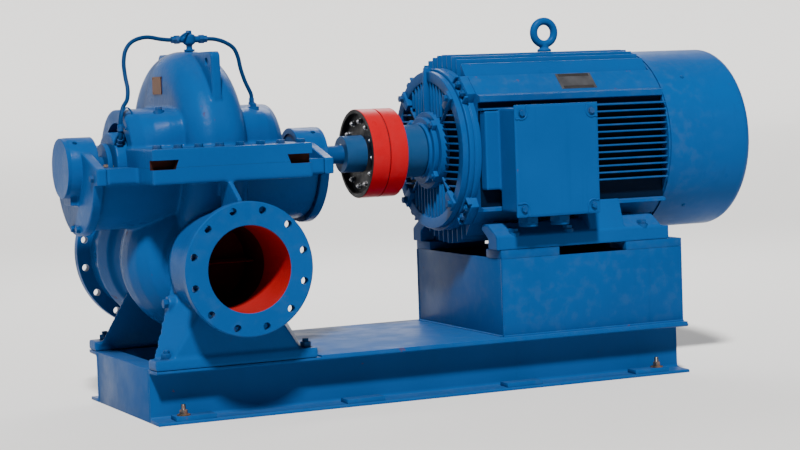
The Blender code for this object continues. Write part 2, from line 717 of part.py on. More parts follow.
def make_lower_cuts(casing, high_z):
    above = box("above_split", (PUMP_X - CUT_REACH, -CUT_REACH, high_z),
                (PUMP_X + CUT_REACH, CUT_REACH, high_z + CUT_REACH), CUTTERS)
    cut(casing, above)
    for side, name in ((-1.0, "left"), (1.0, "right")):
        low, high = sorted((side * STUFFING_END_X, side * (BRACKET_X0 + CUT_MARGIN)))
        pocket = rod("gland_pocket_" + name, "X", (PUMP_X, 0.0, SHAFT_Z), low, high, BEARING_R + 0.005,
                     ROUND, CUTTERS)
        cut(casing, pocket)
    for side in (-1.0, 1.0):
        for end in (-1.0, 1.0):
            cut(casing, pry_slot("lower_slot_%d_%d" % (int(side), int(end)), side, end))
    cut(casing, shaft_space("lower_shaft_space"))
    cut(casing, *neck_spaces("casing_space"))
    passage = rod("discharge_passage", "-Y", (PUMP_X, 0.0, DISCHARGE_Z), PASSAGE_END_Y, PASSAGE_MOUTH_Y,
                  DISCHARGE_BORE_R - PASSAGE_STEP, ROUND, CUTTERS)
    intake = rod("suction_passage", "Y", (PUMP_X, 0.0, SUCTION_Z), PASSAGE_END_Y, PASSAGE_MOUTH_Y,
                 SUCTION_BORE_R - PASSAGE_STEP, ROUND + 4, CUTTERS)
    cut(casing, passage, intake)
    half = TONGUE_THICKNESS / 2.0
    tongue = box("scroll_tongue",
                 (PUMP_X - DISCHARGE_BORE_R, -PASSAGE_END_Y - TONGUE_LENGTH, DISCHARGE_Z - half),
                 (PUMP_X + DISCHARGE_BORE_R, -PASSAGE_END_Y + CUT_MARGIN, DISCHARGE_Z + half), CUTTERS)
    fuse(casing, tongue)


def finish_branch(branch, axis, z, bore_r, flange_r, flange_thickness, pcd_r, holes):
    """Adds the pipe flange to a nozzle, and drills the bore and the bolt holes."""
    name = branch.name
    centre = (PUMP_X, 0.0, z)
    flange = rod(name + "_flange", axis, centre, NOZZLE_FACE_Y - flange_thickness, NOZZLE_FACE_Y,
                 flange_r, 56, CUTTERS)
    fuse(branch, flange)
    cut(branch, rod(name + "_bore", axis, centre, PASSAGE_END_Y, CUT_REACH, bore_r, ROUND, CUTTERS))
    for index in range(holes):
        angle = 2.0 * math.pi * (index + 0.5) / holes
        place = (PUMP_X + pcd_r * math.cos(angle), 0.0, z + pcd_r * math.sin(angle))
        hole = rod("%s_hole_%d" % (name, index), axis, place,
                   NOZZLE_FACE_Y - flange_thickness - CUT_MARGIN, NOZZLE_FACE_Y + CUT_MARGIN,
                   FLANGE_HOLE_R, HOLE_ROUND, CUTTERS)
        cut(branch, hole)
    dress(branch, blue_paint(name))


def make_branches():
    discharge = rod("discharge_branch", "-Y", (PUMP_X, 0.0, DISCHARGE_Z), NOZZLE_ROOT_Y,
                    NOZZLE_FACE_Y - NECK_IN_FLANGE, DISCHARGE_NECK_R)
    rib = outline("discharge_rib", RIB_OUTLINE, RIB_THICKNESS, across_x(RIB_X), CUTTERS)
    fuse(discharge, rib)
    finish_branch(discharge, "-Y", DISCHARGE_Z, DISCHARGE_BORE_R, DISCHARGE_FLANGE_R, DISCHARGE_FLANGE,
                  DISCHARGE_PCD_R, DISCHARGE_HOLES)
    suction = suction_bell("suction_branch", NOZZLE_ROOT_Y, 0.0)
    CUTTERS.objects.unlink(suction)
    PARTS.objects.link(suction)
    suction.hide_render = False
    suction.display_type = "TEXTURED"
    finish_branch(suction, "Y", SUCTION_Z, SUCTION_BORE_R, SUCTION_FLANGE_R, SUCTION_FLANGE,
                  SUCTION_PCD_R, SUCTION_HOLES)


def bracket_outline():
    """The end plate that carries a bearing: half round below, with ears up to the bearing."""
    low = LOWER_FLANGE_Z + 0.001 - SHAFT_Z
    start = -math.asin((0.0015 - low) / BRACKET_R)
    steps = 16
    points = [BRACKET_EAR, (BRACKET_HALF_Y, 0.0), (BRACKET_HALF_Y, low)]
    for index in range(steps + 1):
        angle = start - (math.pi + 2.0 * start) * index / steps
        points.append((BRACKET_R * math.cos(angle), BRACKET_R * math.sin(angle)))
    points += [(-BRACKET_HALF_Y, low), (-BRACKET_HALF_Y, 0.0), (-BRACKET_EAR[0], BRACKET_EAR[1])]
    return [(y, z + SHAFT_Z) for y, z in points]


def make_bearings():
    for side, name in ((-1.0, "left"), (1.0, "right")):
        low, high = sorted((side * BEARING_X0, side * (BEARING_X1 - BEARING_COVER - GAP)))
        centre = (PUMP_X, 0.0, SHAFT_Z)
        housing = rod("bearing_housing_" + name, "X", centre, low, high, BEARING_R)
        plate = outline("bracket_" + name, bracket_outline(), BRACKET_X1 - BRACKET_X0,
                        across_x(PUMP_X + side * (BRACKET_X0 + BRACKET_X1) / 2.0), CUTTERS)
        low, high = sorted((PUMP_X + side * SUMP_X0, PUMP_X + side * SUMP_X1))
        sump = box("sump_" + name, (low, -SUMP_HALF_Y, SHAFT_Z - SUMP_DROP[0]),
                   (high, SUMP_HALF_Y, SHAFT_Z - SUMP_DROP[1]), CUTTERS)
        fuse(housing, plate, sump)
        cut(housing, shaft_space("bearing_bore_" + name))
        dress(housing, blue_paint(housing.name))

        low, high = sorted((side * (BEARING_X1 - BEARING_COVER), side * BEARING_X1))
        cover = rod("bearing_cover_" + name, "X", centre, low, high, BEARING_R - 0.002)
        bevel(cover, 0.002, 1)
        if side > 0.0:
            cut(cover, shaft_space("cover_bore_" + name))
        dress(cover, blue_paint(cover.name))

        low, high = sorted((side * (STUFFING_END_X + GAP), side * (STUFFING_END_X + GLAND_THICKNESS)))
        gland = rod("gland_" + name, "X", centre, low, high, GLAND_R)
        cut(gland, shaft_space("gland_bore_" + name))
        dress(gland, blue_paint(gland.name))


def make_seal_pipes():
    cock = rod("top_cock", "X", (COCK_X, 0.0, COCK_Z), -COCK_ARM, COCK_ARM, COCK_ARM_R,
               COCK_ROUND)
    stem = rod("cock_stem", "Z", (COCK_X, 0.0, 0.0), COCK_SEAT_Z, COCK_Z + COCK_TOP, COCK_ARM_R,
               COCK_ROUND, CUTTERS)
    heart = rod("cock_body", "Z", (COCK_X, 0.0, 0.0), COCK_Z - COCK_BODY_HALF, COCK_Z + COCK_BODY_HALF,
                COCK_BODY_R, COCK_ROUND, CUTTERS)
    fuse(cock, stem, heart)
    dress(cock, blue_paint("top_cock"))
    left = tube("seal_pipe_left", LEFT_PIPE, PIPE_R)
    dress(left, blue_paint("seal_pipe_left"))
    right = tube("seal_pipe_right", RIGHT_PIPE, PIPE_R)
    dress(right, blue_paint("seal_pipe_right"))


def make_rotor():
    centre = (0.0, 0.0, SHAFT_Z)
    shaft = rod("pump_shaft", "X", centre, PUMP_SHAFT_X0, COUPLING_X0 + 0.045, PUMP_SHAFT_R,
                BORE_ROUND)
    dress(shaft, blue_paint("pump_shaft"))
    seam_x = (COUPLING_X0 + COUPLING_X1) / 2.0
    half = rod("coupling_half_pump", "X", centre, COUPLING_X0, seam_x - COUPLING_SEAM / 2.0, COUPLING_R, FINE)
    hub = rod("pump_hub", "X", centre, PUMP_HUB_X0, COUPLING_X0 + OVERLAP, PUMP_HUB_R, ROUND, CUTTERS)
    fuse(half, hub)
    cut(half, rod("pump_hub_bore", "X", centre, PUMP_HUB_X0 - CUT_MARGIN, COUPLING_X0 + 0.046,
                  PUMP_SHAFT_R + GAP, BORE_ROUND, CUTTERS))
    dress(half, red_paint("coupling_half_pump"))
    buffer_ring = rod("coupling_buffer", "X", centre, seam_x - COUPLING_SEAM / 2.0 + GAP,
                      seam_x + COUPLING_SEAM / 2.0 - GAP, COUPLING_R - 0.004, FINE)
    dress(buffer_ring, black_metal("coupling_buffer"))
    half = rod("coupling_half_motor", "X", centre, seam_x + COUPLING_SEAM / 2.0, COUPLING_X1, COUPLING_R,
               FINE)
    hub = rod("motor_hub", "X", centre, COUPLING_X1 - OVERLAP, MOTOR_HUB_X1, MOTOR_HUB_R, ROUND, CUTTERS)
    fuse(half, hub)
    cut(half, rod("motor_hub_bore", "X", centre, COUPLING_X1 + 0.001, MOTOR_HUB_X1 + CUT_MARGIN,
                  MOTOR_SHAFT_R + GAP, BORE_ROUND, CUTTERS))
    dress(half, red_paint("coupling_half_motor"))
    shaft = rod("motor_shaft", "X", centre, COUPLING_X1 + 0.001 + GAP, MOTOR_SHAFT_X1, MOTOR_SHAFT_R,
                BORE_ROUND)
    dress(shaft, bare_steel("motor_shaft"))
    make_fan(centre)


def make_fan(centre):
    fan = rod("cooling_fan", "X", centre, FAN_X0, FAN_X0 + FAN_DISC, FAN_R)
    hub = rod("fan_hub", "X", centre, FAN_X0, FAN_X1, FAN_HUB_R, ROUND, CUTTERS)
    fuse(fan, hub)
    for index in range(FAN_BLADES):
        blade = box("fan_blade_%d" % index, (FAN_X0 + 0.002, -FAN_BLADE_HALF, FAN_HUB_R - CUT_MARGIN),
                    (FAN_X1 - 0.004, FAN_BLADE_HALF, FAN_R - 0.006), CUTTERS)
        blade.matrix_world = Matrix.Translation(centre) @ Matrix.Rotation(
            2.0 * math.pi * (index + 0.5) / FAN_BLADES, 4, "X")
        fuse(fan, blade)
    cut(fan, rod("fan_bore", "X", centre, FAN_X0 - CUT_MARGIN, FAN_X1 + CUT_MARGIN, MOTOR_SHAFT_R + GAP,
                 BORE_ROUND, CUTTERS))
    dress(fan, black_metal("cooling_fan"))


def fin_row(positions):
    """The top fins as (y, z) points, each a little thinner at its tip."""
    points = []
    for position in positions:
        for offset, radius in ((-FIN_ROOT, FRAME_ROOT_R), (-FIN_TIP, TOP_FIN_R),
                               (FIN_TIP, TOP_FIN_R), (FIN_ROOT, FRAME_ROOT_R)):
            y = position + offset / 2.0
            points.append((y, math.sqrt(radius ** 2 - y ** 2)))
    return points


def frame_outline():
    """The finned motor frame's section, listed once round as (y, z)."""
    half_span = (TOP_FIN_COUNT - 1) / 2.0
    across = [(index - half_span) * TOP_FIN_PITCH for index in range(TOP_FIN_COUNT)]
    top = fin_row(across)[1:-1]
    pad = list(SIDE_PAD)
    half_rows = (SIDE_FIN_COUNT - 1) / 2.0
    levels = [(half_rows - index) * SIDE_FIN_PITCH + SIDE_FIN_MIDDLE for index in range(SIDE_FIN_COUNT)]
    side = []
    for z in levels:
        side += [(SIDE_ROOT_Y, z + FIN_ROOT / 2.0), (SIDE_FIN_Y, z + FIN_TIP / 2.0),
                 (SIDE_FIN_Y, z - FIN_TIP / 2.0), (SIDE_ROOT_Y, z - FIN_ROOT / 2.0)]
    lower_pad = list(LOWER_PAD)
    bottom = [(-y, -z) for y, z in top]
    left_low = [(-y, z) for y, z in reversed(lower_pad)]
    left_side = [(-y, z) for y, z in reversed(side)]
    left_top = [(-y, z) for y, z in reversed(pad)]
    ring = top + pad + side + lower_pad + bottom + left_low + left_side + left_top
    return [(y, z + SHAFT_Z) for y, z in ring]


def make_motor_frame():
    length = FRAME_X1 - FRAME_RING_X1 + OVERLAP
    frame = outline("motor_frame", frame_outline(), length, across_x(FRAME_X1 - length / 2.0))
    centre = (0.0, 0.0, SHAFT_Z)
    ring = rod("frame_ring", "X", centre, FRAME_X0, FRAME_RING_X1, FRAME_RING_R, FINE, CUTTERS)
    boss = rod("eyebolt_boss", "Z", (EYEBOLT_X, 0.0, SHAFT_Z), FRAME_ROOT_R - 0.050, TOP_FIN_R,
               EYEBOLT_BOSS_R, SMALL_ROUND, CUTTERS)
    fuse(frame, ring, boss)
    cut(frame, box("neck_space", (NECK_X0 - GAP, -BOX_COVER_Y1, NECK_Z0 - GAP),
                   (NECK_X1 + GAP, -SIDE_ROOT_Y - 0.0001, NECK_Z1 + GAP), CUTTERS))
    cut(frame, rod("frame_bore", "X", centre, 0.0, REAR_SHIELD_X1, MOTOR_SHAFT_R + SHAFT_CLEARANCE,
                   BORE_ROUND, CUTTERS))
    dress(frame, blue_paint("motor_frame"))


def make_motor_feet():
    low = PAD_TOP_Z + GAP
    length = MOTOR_FOOT_X1 - MOTOR_FOOT_X0
    for side, name in ((-1.0, "near"), (1.0, "far")):
        rail = [(side * FOOT_INNER_Y, low), (side * MOTOR_FOOT_Y, low), (side * MOTOR_FOOT_Y, FOOT_RAIL_Z),
                (side * FOOT_INNER_Y, FOOT_RAIL_Z)]
        foot = outline("motor_foot_" + name, rail, length, across_x(MOTOR_FOOT_X0 + length / 2.0))
        slope = [(side * y, z) for y, z in FOOT_SLOPE]
        slope_x0 = MOTOR_FOOT_X0 + OVERLAP
        fuse(foot, outline("foot_slope_" + name, slope, FOOT_SLOPE_X1 - slope_x0,
                           across_x((FOOT_SLOPE_X1 + slope_x0) / 2.0), CUTTERS))
        web = [(side * y, z) for y, z in FOOT_WEB]
        fuse(foot, outline("foot_web_" + name, web, FOOT_WEB_X[1] - FOOT_WEB_X[0],
                           across_x((FOOT_WEB_X[0] + FOOT_WEB_X[1]) / 2.0), CUTTERS))
        dress(foot, blue_paint(foot.name))


def make_shields():
    centre = (0.0, 0.0, SHAFT_Z)
    bore = MOTOR_SHAFT_R + SHAFT_CLEARANCE
    profile = [(bore, SHIELD_X1), (SHIELD_R, SHIELD_X1), (SHIELD_R, SHIELD_X0), (SHIELD_RECESS_R, SHIELD_X0),
               (SHIELD_RECESS_R - 0.006, SHIELD_X0 + 0.011), (SHIELD_BOSS_R + 0.004, SHIELD_X0 + 0.009),
               (SHIELD_BOSS_R, CAP_X1 + GAP), (bore, CAP_X1 + GAP)]
    shield = turned("end_shield_drive", "X", centre, profile, FINE)
    dress(shield, blue_paint("end_shield_drive"))
    cap = turned("motor_bearing_cap", "X", centre,
                 [(bore, CAP_X1), (CAP_R, CAP_X1), (CAP_R, CAP_X0 + 0.006), (CAP_R - 0.008, CAP_X0),
                  (bore, CAP_X0)], ROUND)
    dress(cap, blue_paint("motor_bearing_cap"))
    rear = turned("end_shield_rear", "X", centre,
                  [(bore, REAR_SHIELD_X1 + 0.02), (0.090, REAR_SHIELD_X1 + 0.02), (0.100, REAR_SHIELD_X1),
                   (COVER_R - COVER_PLATE - GAP, REAR_SHIELD_X1), (COVER_R - COVER_PLATE - GAP, FRAME_X1 + GAP),
                   (bore, FRAME_X1 + GAP)], ROUND)
    dress(rear, blue_paint("end_shield_rear"))


def arc(centre_r, centre_x, radius, steps):
    """Points round a cover's rear edge, from its flat end to its side."""
    points = []
    for index in range(steps + 1):
        angle = math.pi / 2.0 * (1.0 - index / steps)
        points.append((centre_r + radius * math.cos(angle), centre_x + radius * math.sin(angle)))
    return points


def make_fan_cover():
    rear = SET_HALF_LENGTH
    edge_r = COVER_R - COVER_EDGE
    edge_x = rear - COVER_EDGE
    outer = [(COVER_MOUTH_R, rear)] + arc(edge_r, edge_x, COVER_EDGE, 3) + [(COVER_R, COVER_X0)]
    inner = arc(edge_r, edge_x, COVER_EDGE - COVER_PLATE, 3) + [(COVER_R - COVER_PLATE, COVER_X0)]
    profile = outer + list(reversed(inner)) + [(COVER_MOUTH_R, rear - COVER_PLATE)]
    cover = turned("fan_cover", "X", (0.0, 0.0, SHAFT_Z), profile, ROUND)
    dress(cover, blue_paint("fan_cover"))
    make_grille(rear)


def make_grille(rear):
    centre = (0.0, 0.0, SHAFT_Z)
    front = rear - COVER_PLATE
    grille = rod("fan_grille", "X", centre, front, rear, GRILLE_MIDDLE_R, SMALL_ROUND)
    step = (COVER_MOUTH_R - GAP - GRILLE_BAR - GRILLE_MIDDLE_R) / GRILLE_RINGS
    for index in range(GRILLE_RINGS):
        inner_r = GRILLE_MIDDLE_R + step * (index + 1)
        outer_r = inner_r + GRILLE_BAR
        ring = turned("grille_ring_%d" % index, "X", centre,
                      [(inner_r, rear), (outer_r, rear), (outer_r, front), (inner_r, front)],
                      ROUND if index == GRILLE_RINGS - 1 else 24, CUTTERS)
        fuse(grille, ring)
    for index in range(GRILLE_SPOKES):
        spoke = box("grille_spoke_%d" % index, (front, -GRILLE_SPOKE_HALF, GRILLE_MIDDLE_R - 0.010),
                    (rear, GRILLE_SPOKE_HALF, COVER_MOUTH_R - 0.006), CUTTERS)
        spoke.matrix_world = Matrix.Translation(centre) @ Matrix.Rotation(
            2.0 * math.pi * index / GRILLE_SPOKES, 4, "X")
        fuse(grille, spoke)
    dress(grille, blue_paint("fan_grille"))


def make_terminal_box():
    body = box("terminal_box", (BOX_X0 + BOX_STEP, -BOX_Y1, BOX_Z0), (BOX_X1 - BOX_STEP, -BOX_Y0, BOX_Z1))
    neck = box("box_neck", (NECK_X0, -BOX_Y0 - OVERLAP, NECK_Z0), (NECK_X1, -SIDE_ROOT_Y - GAP, NECK_Z1),
               CUTTERS)
    fuse(body, neck)
    dress(body, blue_paint("terminal_box"))
    cover = box("terminal_box_cover", (BOX_X0, -BOX_COVER_Y1, BOX_COVER_Z0),
                (BOX_X1, -BOX_Y1 - GAP, BOX_COVER_Z1))
    bevel(cover, 0.002, 1)
    dress(cover, blue_paint("terminal_box_cover"))
    for x, name in zip(GLAND_STUB_X, ("left", "right")):
        stub = rod("cable_gland_" + name, "Z", (x, -(BOX_Y0 + BOX_Y1) / 2.0, 0.0), GLAND_STUB_Z0,
                   BOX_Z0 - GAP, GLAND_STUB_R, 24)
        dress(stub, blue_paint(stub.name))


def make_eyebolt():
    seat = SHAFT_Z + TOP_FIN_R + GAP
    bolt = rod("eyebolt", "Z", (EYEBOLT_X, 0.0, 0.0), seat, EYEBOLT_Z - EYEBOLT_RING_R, EYEBOLT_SHANK[0],
               SMALL_ROUND, end_radius=EYEBOLT_SHANK[1])
    bpy.ops.mesh.primitive_torus_add(location=(EYEBOLT_X, 0.0, EYEBOLT_Z), rotation=(math.pi / 2.0, 0.0, 0.0),
                                     major_segments=20, minor_segments=8, major_radius=EYEBOLT_RING_R,
                                     minor_radius=EYEBOLT_WIRE_R)
    ring = bpy.context.active_object
    ring.name = "eyebolt_ring"
    for owner in list(ring.users_collection):
        owner.objects.unlink(ring)
    CUTTERS.objects.link(ring)
    fuse(bolt, ring)
    dress(bolt, blue_paint("eyebolt"))


def main():
    make_base()
    make_pedestal()
    make_lower_casing()
    make_upper_casing()
    make_feet()
    make_branches()
    make_bearings()
    make_seal_pipes()
    make_rotor()
    make_motor_frame()
    make_motor_feet()
    make_shields()
    make_fan_cover()
    make_terminal_box()
    make_eyebolt()


main()
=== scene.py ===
"""Dressed scene of a horizontal split case pump set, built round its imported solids."""
import math
import bpy
import bmesh
from mathutils import Matrix, Vector


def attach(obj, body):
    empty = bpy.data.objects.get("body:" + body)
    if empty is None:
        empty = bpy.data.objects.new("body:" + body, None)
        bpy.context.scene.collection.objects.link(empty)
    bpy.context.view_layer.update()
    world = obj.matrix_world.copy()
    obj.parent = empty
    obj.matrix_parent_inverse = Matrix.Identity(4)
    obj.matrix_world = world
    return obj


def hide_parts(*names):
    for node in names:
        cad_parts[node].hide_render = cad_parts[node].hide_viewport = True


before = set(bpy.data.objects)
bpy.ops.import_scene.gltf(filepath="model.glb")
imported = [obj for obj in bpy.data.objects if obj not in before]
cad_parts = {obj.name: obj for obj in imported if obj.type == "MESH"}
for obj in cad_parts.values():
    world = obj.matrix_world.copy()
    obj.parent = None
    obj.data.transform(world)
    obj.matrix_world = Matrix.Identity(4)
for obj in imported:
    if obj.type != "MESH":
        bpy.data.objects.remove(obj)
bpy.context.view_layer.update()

# Main axes and places, from the solids
SHAFT_Z = 0.7533
PUMP_X = -0.719
GAP = 0.0003
FLANGE_HALF_X = 0.249
FLANGE_HALF_Y = 0.370
FLANGE_TOP_Z = 0.8082
FLANGE_LOW_Z = 0.7044
DISCHARGE_Z = 0.452
SUCTION_Z = 0.459
FACE_Y = 0.469
BASE_HEIGHT = 0.160
DECK_Z = 0.166
PAD_TOP_Z = 0.4383

# Sizes of fasteners, across flats
M12 = 0.019
M16 = 0.024
M20 = 0.030

AXES = {
    "X": (Vector((1, 0, 0)), Vector((0, 1, 0)), Vector((0, 0, 1))),
    "-X": (Vector((-1, 0, 0)), Vector((0, -1, 0)), Vector((0, 0, 1))),
    "Y": (Vector((0, 1, 0)), Vector((0, 0, 1)), Vector((1, 0, 0))),
    "-Y": (Vector((0, -1, 0)), Vector((0, 0, 1)), Vector((-1, 0, 0))),
    "Z": (Vector((0, 0, 1)), Vector((1, 0, 0)), Vector((0, 1, 0))),
    "-Z": (Vector((0, 0, -1)), Vector((-1, 0, 0)), Vector((0, 1, 0))),
}


# Shapes, each added to a mesh under construction

def add_box(shape, low, high):
    """A block between two opposite corners."""
    size = Vector(high) - Vector(low)
    middle = (Vector(high) + Vector(low)) / 2.0
    made = bmesh.ops.create_cube(shape, size=1.0)["verts"]
    bmesh.ops.scale(shape, vec=size, verts=made)
    bmesh.ops.translate(shape, vec=middle, verts=made)
    return made


def add_turned(shape, axis, centre, profile, sides=96, closed=False):
    """A turned solid from (radius, distance) points; a closed profile makes a ring."""
    along, across, up = AXES[axis]
    centre = Vector(centre)
    rings = []
    for radius, distance in profile:
        if radius < 1e-6:
            rings.append([shape.verts.new(centre + along * distance)])
            continue
        ring = []
        for index in range(sides):
            angle = 2.0 * math.pi * index / sides
            offset = across * (radius * math.cos(angle)) + up * (radius * math.sin(angle))
            ring.append(shape.verts.new(centre + along * distance + offset))
        rings.append(ring)
    pairs = list(zip(rings, rings[1:]))
    if closed:
        pairs.append((rings[-1], rings[0]))
    for first, second in pairs:
        for index in range(sides):
            following = (index + 1) % sides
            corners = [first[index % len(first)], first[following % len(first)],
                       second[following % len(second)], second[index % len(second)]]
            corners = list(dict.fromkeys(corners))
            if len(corners) > 2:
                shape.faces.new(corners)
    return [vertex for ring in rings for vertex in ring]


def add_rod(shape, axis, centre, start, end, radius, end_radius=None, sides=64, chamfer=0.0):
    """A round bar along an axis, with an optional chamfer at both ends."""
    last = radius if end_radius is None else end_radius
    profile = [(0.0, start), (radius - chamfer, start), (radius, start + chamfer),
               (last, end - chamfer), (last - chamfer, end), (0.0, end)]
    if chamfer <= 0.0:
        profile = [(0.0, start), (radius, start), (last, end), (0.0, end)]
    return add_turned(shape, axis, centre, profile, sides)


def add_prism(shape, axis, points, start, end):
    """An outline pushed along X, Y or Z. Its points are (y, z), (x, z) or (x, y)."""
    place = {"X": lambda a, b, d: (d, a, b), "Y": lambda a, b, d: (a, d, b), "Z": lambda a, b, d: (a, b, d)}[axis]
    lower = [shape.verts.new(place(a, b, start)) for a, b in points]
    upper = [shape.verts.new(place(a, b, end)) for a, b in points]
    shape.faces.new(lower)
    shape.faces.new(list(reversed(upper)))
    count = len(points)
    for index in range(count):
        following = (index + 1) % count
        shape.faces.new((lower[following], lower[index], upper[index], upper[following]))
    return lower + upper


def add_loft(shape, rings):
    """A closed solid through several rings with the same number of points."""
    made = [[shape.verts.new(point) for point in ring] for ring in rings]
    for ring, following in zip(made, made[1:]):
        for index in range(len(ring)):
            shape.faces.new((ring[index - 1], ring[index], following[index], following[index - 1]))
    shape.faces.new(made[0])
    shape.faces.new(made[-1])
    return [vertex for ring in made for vertex in ring]


def add_tube(shape, route, radius, sides=16):
    """A round tube along a route of points, closed at both ends."""
    points = [Vector(point) for point in route]
    normal = None
    rings = []
    for index, point in enumerate(points):
        before = points[max(index - 1, 0)]
        after = points[min(index + 1, len(points) - 1)]
        tangent = (after - before).normalized()
        if normal is None:
            normal = tangent.orthogonal().normalized()
        normal = (normal - tangent * normal.dot(tangent)).normalized()
        side = tangent.cross(normal)
        size = radius[index] if isinstance(radius, (list, tuple)) else radius
        rings.append([point + (normal * math.cos(angle) + side * math.sin(angle)) * size
                      for angle in (2.0 * math.pi * step / sides for step in range(sides))])
    return add_loft(shape, rings)


def move(shape, made, matrix):
    bmesh.ops.transform(shape, matrix=matrix, verts=made)


def smooth_route(route, steps=6):
    """Points on one smooth curve through the route's own points."""
    points = [Vector(point) for point in route]
    fine = []
    for index in range(len(points) - 1):
        p0 = points[max(index - 1, 0)]
        p1 = points[index]
        p2 = points[index + 1]
        p3 = points[min(index + 2, len(points) - 1)]
        for step in range(steps):
            t = step / steps
            fine.append(0.5 * ((2.0 * p1) + (p2 - p0) * t + (2.0 * p0 - 5.0 * p1 + 4.0 * p2 - p3) * t ** 2
                               + (3.0 * p1 - p0 - 3.0 * p2 + p3) * t ** 3))
    fine.append(points[-1])
    return fine


# Objects

def piece(name, shape):
    """Turns a finished mesh under construction into an object of the scene."""
    bmesh.ops.recalc_face_normals(shape, faces=shape.faces)
    mesh = bpy.data.meshes.new(name)
    shape.to_mesh(mesh)
    shape.free()
    item = bpy.data.objects.new(name, mesh)
    bpy.context.scene.collection.objects.link(item)
    return item


def apply_modifiers(item):
    bpy.context.view_layer.update()
    graph = bpy.context.evaluated_depsgraph_get()
    mesh = bpy.data.meshes.new_from_object(item.evaluated_get(graph))
    item.modifiers.clear()
    old = item.data
    item.data = mesh
    bpy.data.meshes.remove(old)


def cast(item, voxel, rounds=4):
    """Melts the shapes of one object into a single casting with soft inner and outer corners."""
    melt = item.modifiers.new("melt", "REMESH")
    melt.mode = "VOXEL"
    melt.voxel_size = voxel
    soften = item.modifiers.new("soften", "SMOOTH")
    soften.factor = 0.5
    soften.iterations = rounds
    apply_modifiers(item)


def carve(item, cutter, operation="DIFFERENCE"):
    """Cuts one closed mesh out of another."""
    tool = piece("cutter", cutter)
    change = item.modifiers.new("carve", "BOOLEAN")
    change.operation = operation
    change.solver = "MANIFOLD"
    change.object = tool
    apply_modifiers(item)
    bpy.data.objects.remove(tool)


def trim(item, place, direction):
    """Keeps what lies behind a plane and closes the cut, as a machined joint face."""
    shape = bmesh.new()
    shape.from_mesh(item.data)
    parts = shape.verts[:] + shape.edges[:] + shape.faces[:]
    cut = bmesh.ops.bisect_plane(shape, geom=parts, plane_co=place, plane_no=direction, clear_outer=True)
    edges = [part for part in cut["geom_cut"] if isinstance(part, bmesh.types.BMEdge)]
    bmesh.ops.holes_fill(shape, edges=edges)
    shape.to_mesh(item.data)
    shape.free()


def soften_edges(item, width, segments=2, angle=32.0):
    edge = item.modifiers.new("edges", "BEVEL")
    edge.width = width
    edge.segments = segments
    edge.limit_method = "ANGLE"
    edge.angle_limit = math.radians(angle)
    apply_modifiers(item)


def finish(item, material, body="set", replaces=(), angle=35.0):
    """Shades a piece, gives it its material and tells the frame what it rides on."""
    mesh = item.data
    mesh.materials.clear()
    mesh.materials.append(material)
    mesh.shade_smooth()
    mesh.set_sharp_from_angle(angle=math.radians(angle))
    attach(item, body)
    if replaces:
        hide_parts(*replaces)
    return item


# Materials

class Surface:
    """A procedural material, built step by step from short calls."""

    def __init__(self, name):
        self.material = bpy.data.materials.new(name)
        self.material.use_nodes = True
        self.nodes = self.material.node_tree.nodes
        self.links = self.material.node_tree.links
        self.shader = self.nodes["Principled BSDF"]
        self.place = self.nodes.new("ShaderNodeTexCoord").outputs["Object"]
        self.geometry = self.nodes.new("ShaderNodeNewGeometry")
        self.normal = None

    def wire(self, value, socket):
        if hasattr(value, "is_output"):
            self.links.new(value, socket)
        else:
            socket.default_value = value

    def noise(self, scale, detail=3.0, roughness=0.55, stretch=None):
        source = self.place
        if stretch:
            mapping = self.nodes.new("ShaderNodeMapping")
            mapping.inputs["Scale"].default_value = stretch
            self.links.new(source, mapping.inputs["Vector"])
            source = mapping.outputs["Vector"]
        grain = self.nodes.new("ShaderNodeTexNoise")
        self.links.new(source, grain.inputs["Vector"])
        grain.inputs["Scale"].default_value = scale
        grain.inputs["Detail"].default_value = detail
        grain.inputs["Roughness"].default_value = roughness
        return grain.outputs["Fac"]

    def span(self, value, low, high, first=0.0, last=1.0):
        step = self.nodes.new("ShaderNodeMapRange")
        step.interpolation_type = "SMOOTHSTEP"
        self.wire(value, step.inputs["Value"])
        for name, number in (("From Min", low), ("From Max", high), ("To Min", first), ("To Max", last)):
            step.inputs[name].default_value = number
        return step.outputs["Result"]

    def sum(self, kind, first, second):
        step = self.nodes.new("ShaderNodeMath")
        step.operation = kind
        self.wire(first, step.inputs[0])
        self.wire(second, step.inputs[1])
        return step.outputs[0]

    def mix(self, factor, first, second):
        step = self.nodes.new("ShaderNodeMix")
        step.data_type = "RGBA"
        self.wire(factor, step.inputs[0])
        for value, socket in ((first, step.inputs[6]), (second, step.inputs[7])):
            self.wire(value if hasattr(value, "is_output") else tuple(value) + (1.0,), socket)
        return step.outputs[2]

    def bump(self, height, strength, distance):
        step = self.nodes.new("ShaderNodeBump")
        step.inputs["Strength"].default_value = strength
        step.inputs["Distance"].default_value = distance
        self.links.new(height, step.inputs["Height"])
        if self.normal:
            self.links.new(self.normal, step.inputs["Normal"])
        self.normal = step.outputs["Normal"]

    def upward(self):
        split = self.nodes.new("ShaderNodeSeparateXYZ")
        self.links.new(self.geometry.outputs["Normal"], split.inputs[0])
        return split.outputs["Z"]

    def done(self, colour, roughness, metallic=0.0, **constants):
        self.wire(colour if hasattr(colour, "is_output") else tuple(colour) + (1.0,),
                  self.shader.inputs["Base Color"])
        self.wire(roughness, self.shader.inputs["Roughness"])
        self.wire(metallic, self.shader.inputs["Metallic"])
        if self.normal:
            self.links.new(self.normal, self.shader.inputs["Normal"])
        for name, number in constants.items():
            self.shader.inputs[name.replace("_", " ")].default_value = number
        return self.material


def tint(colour, amount):
    return tuple(min(channel * amount, 1.0) for channel in colour)


DUST = (0.210, 0.180, 0.150)
RUST = (0.090, 0.026, 0.010)


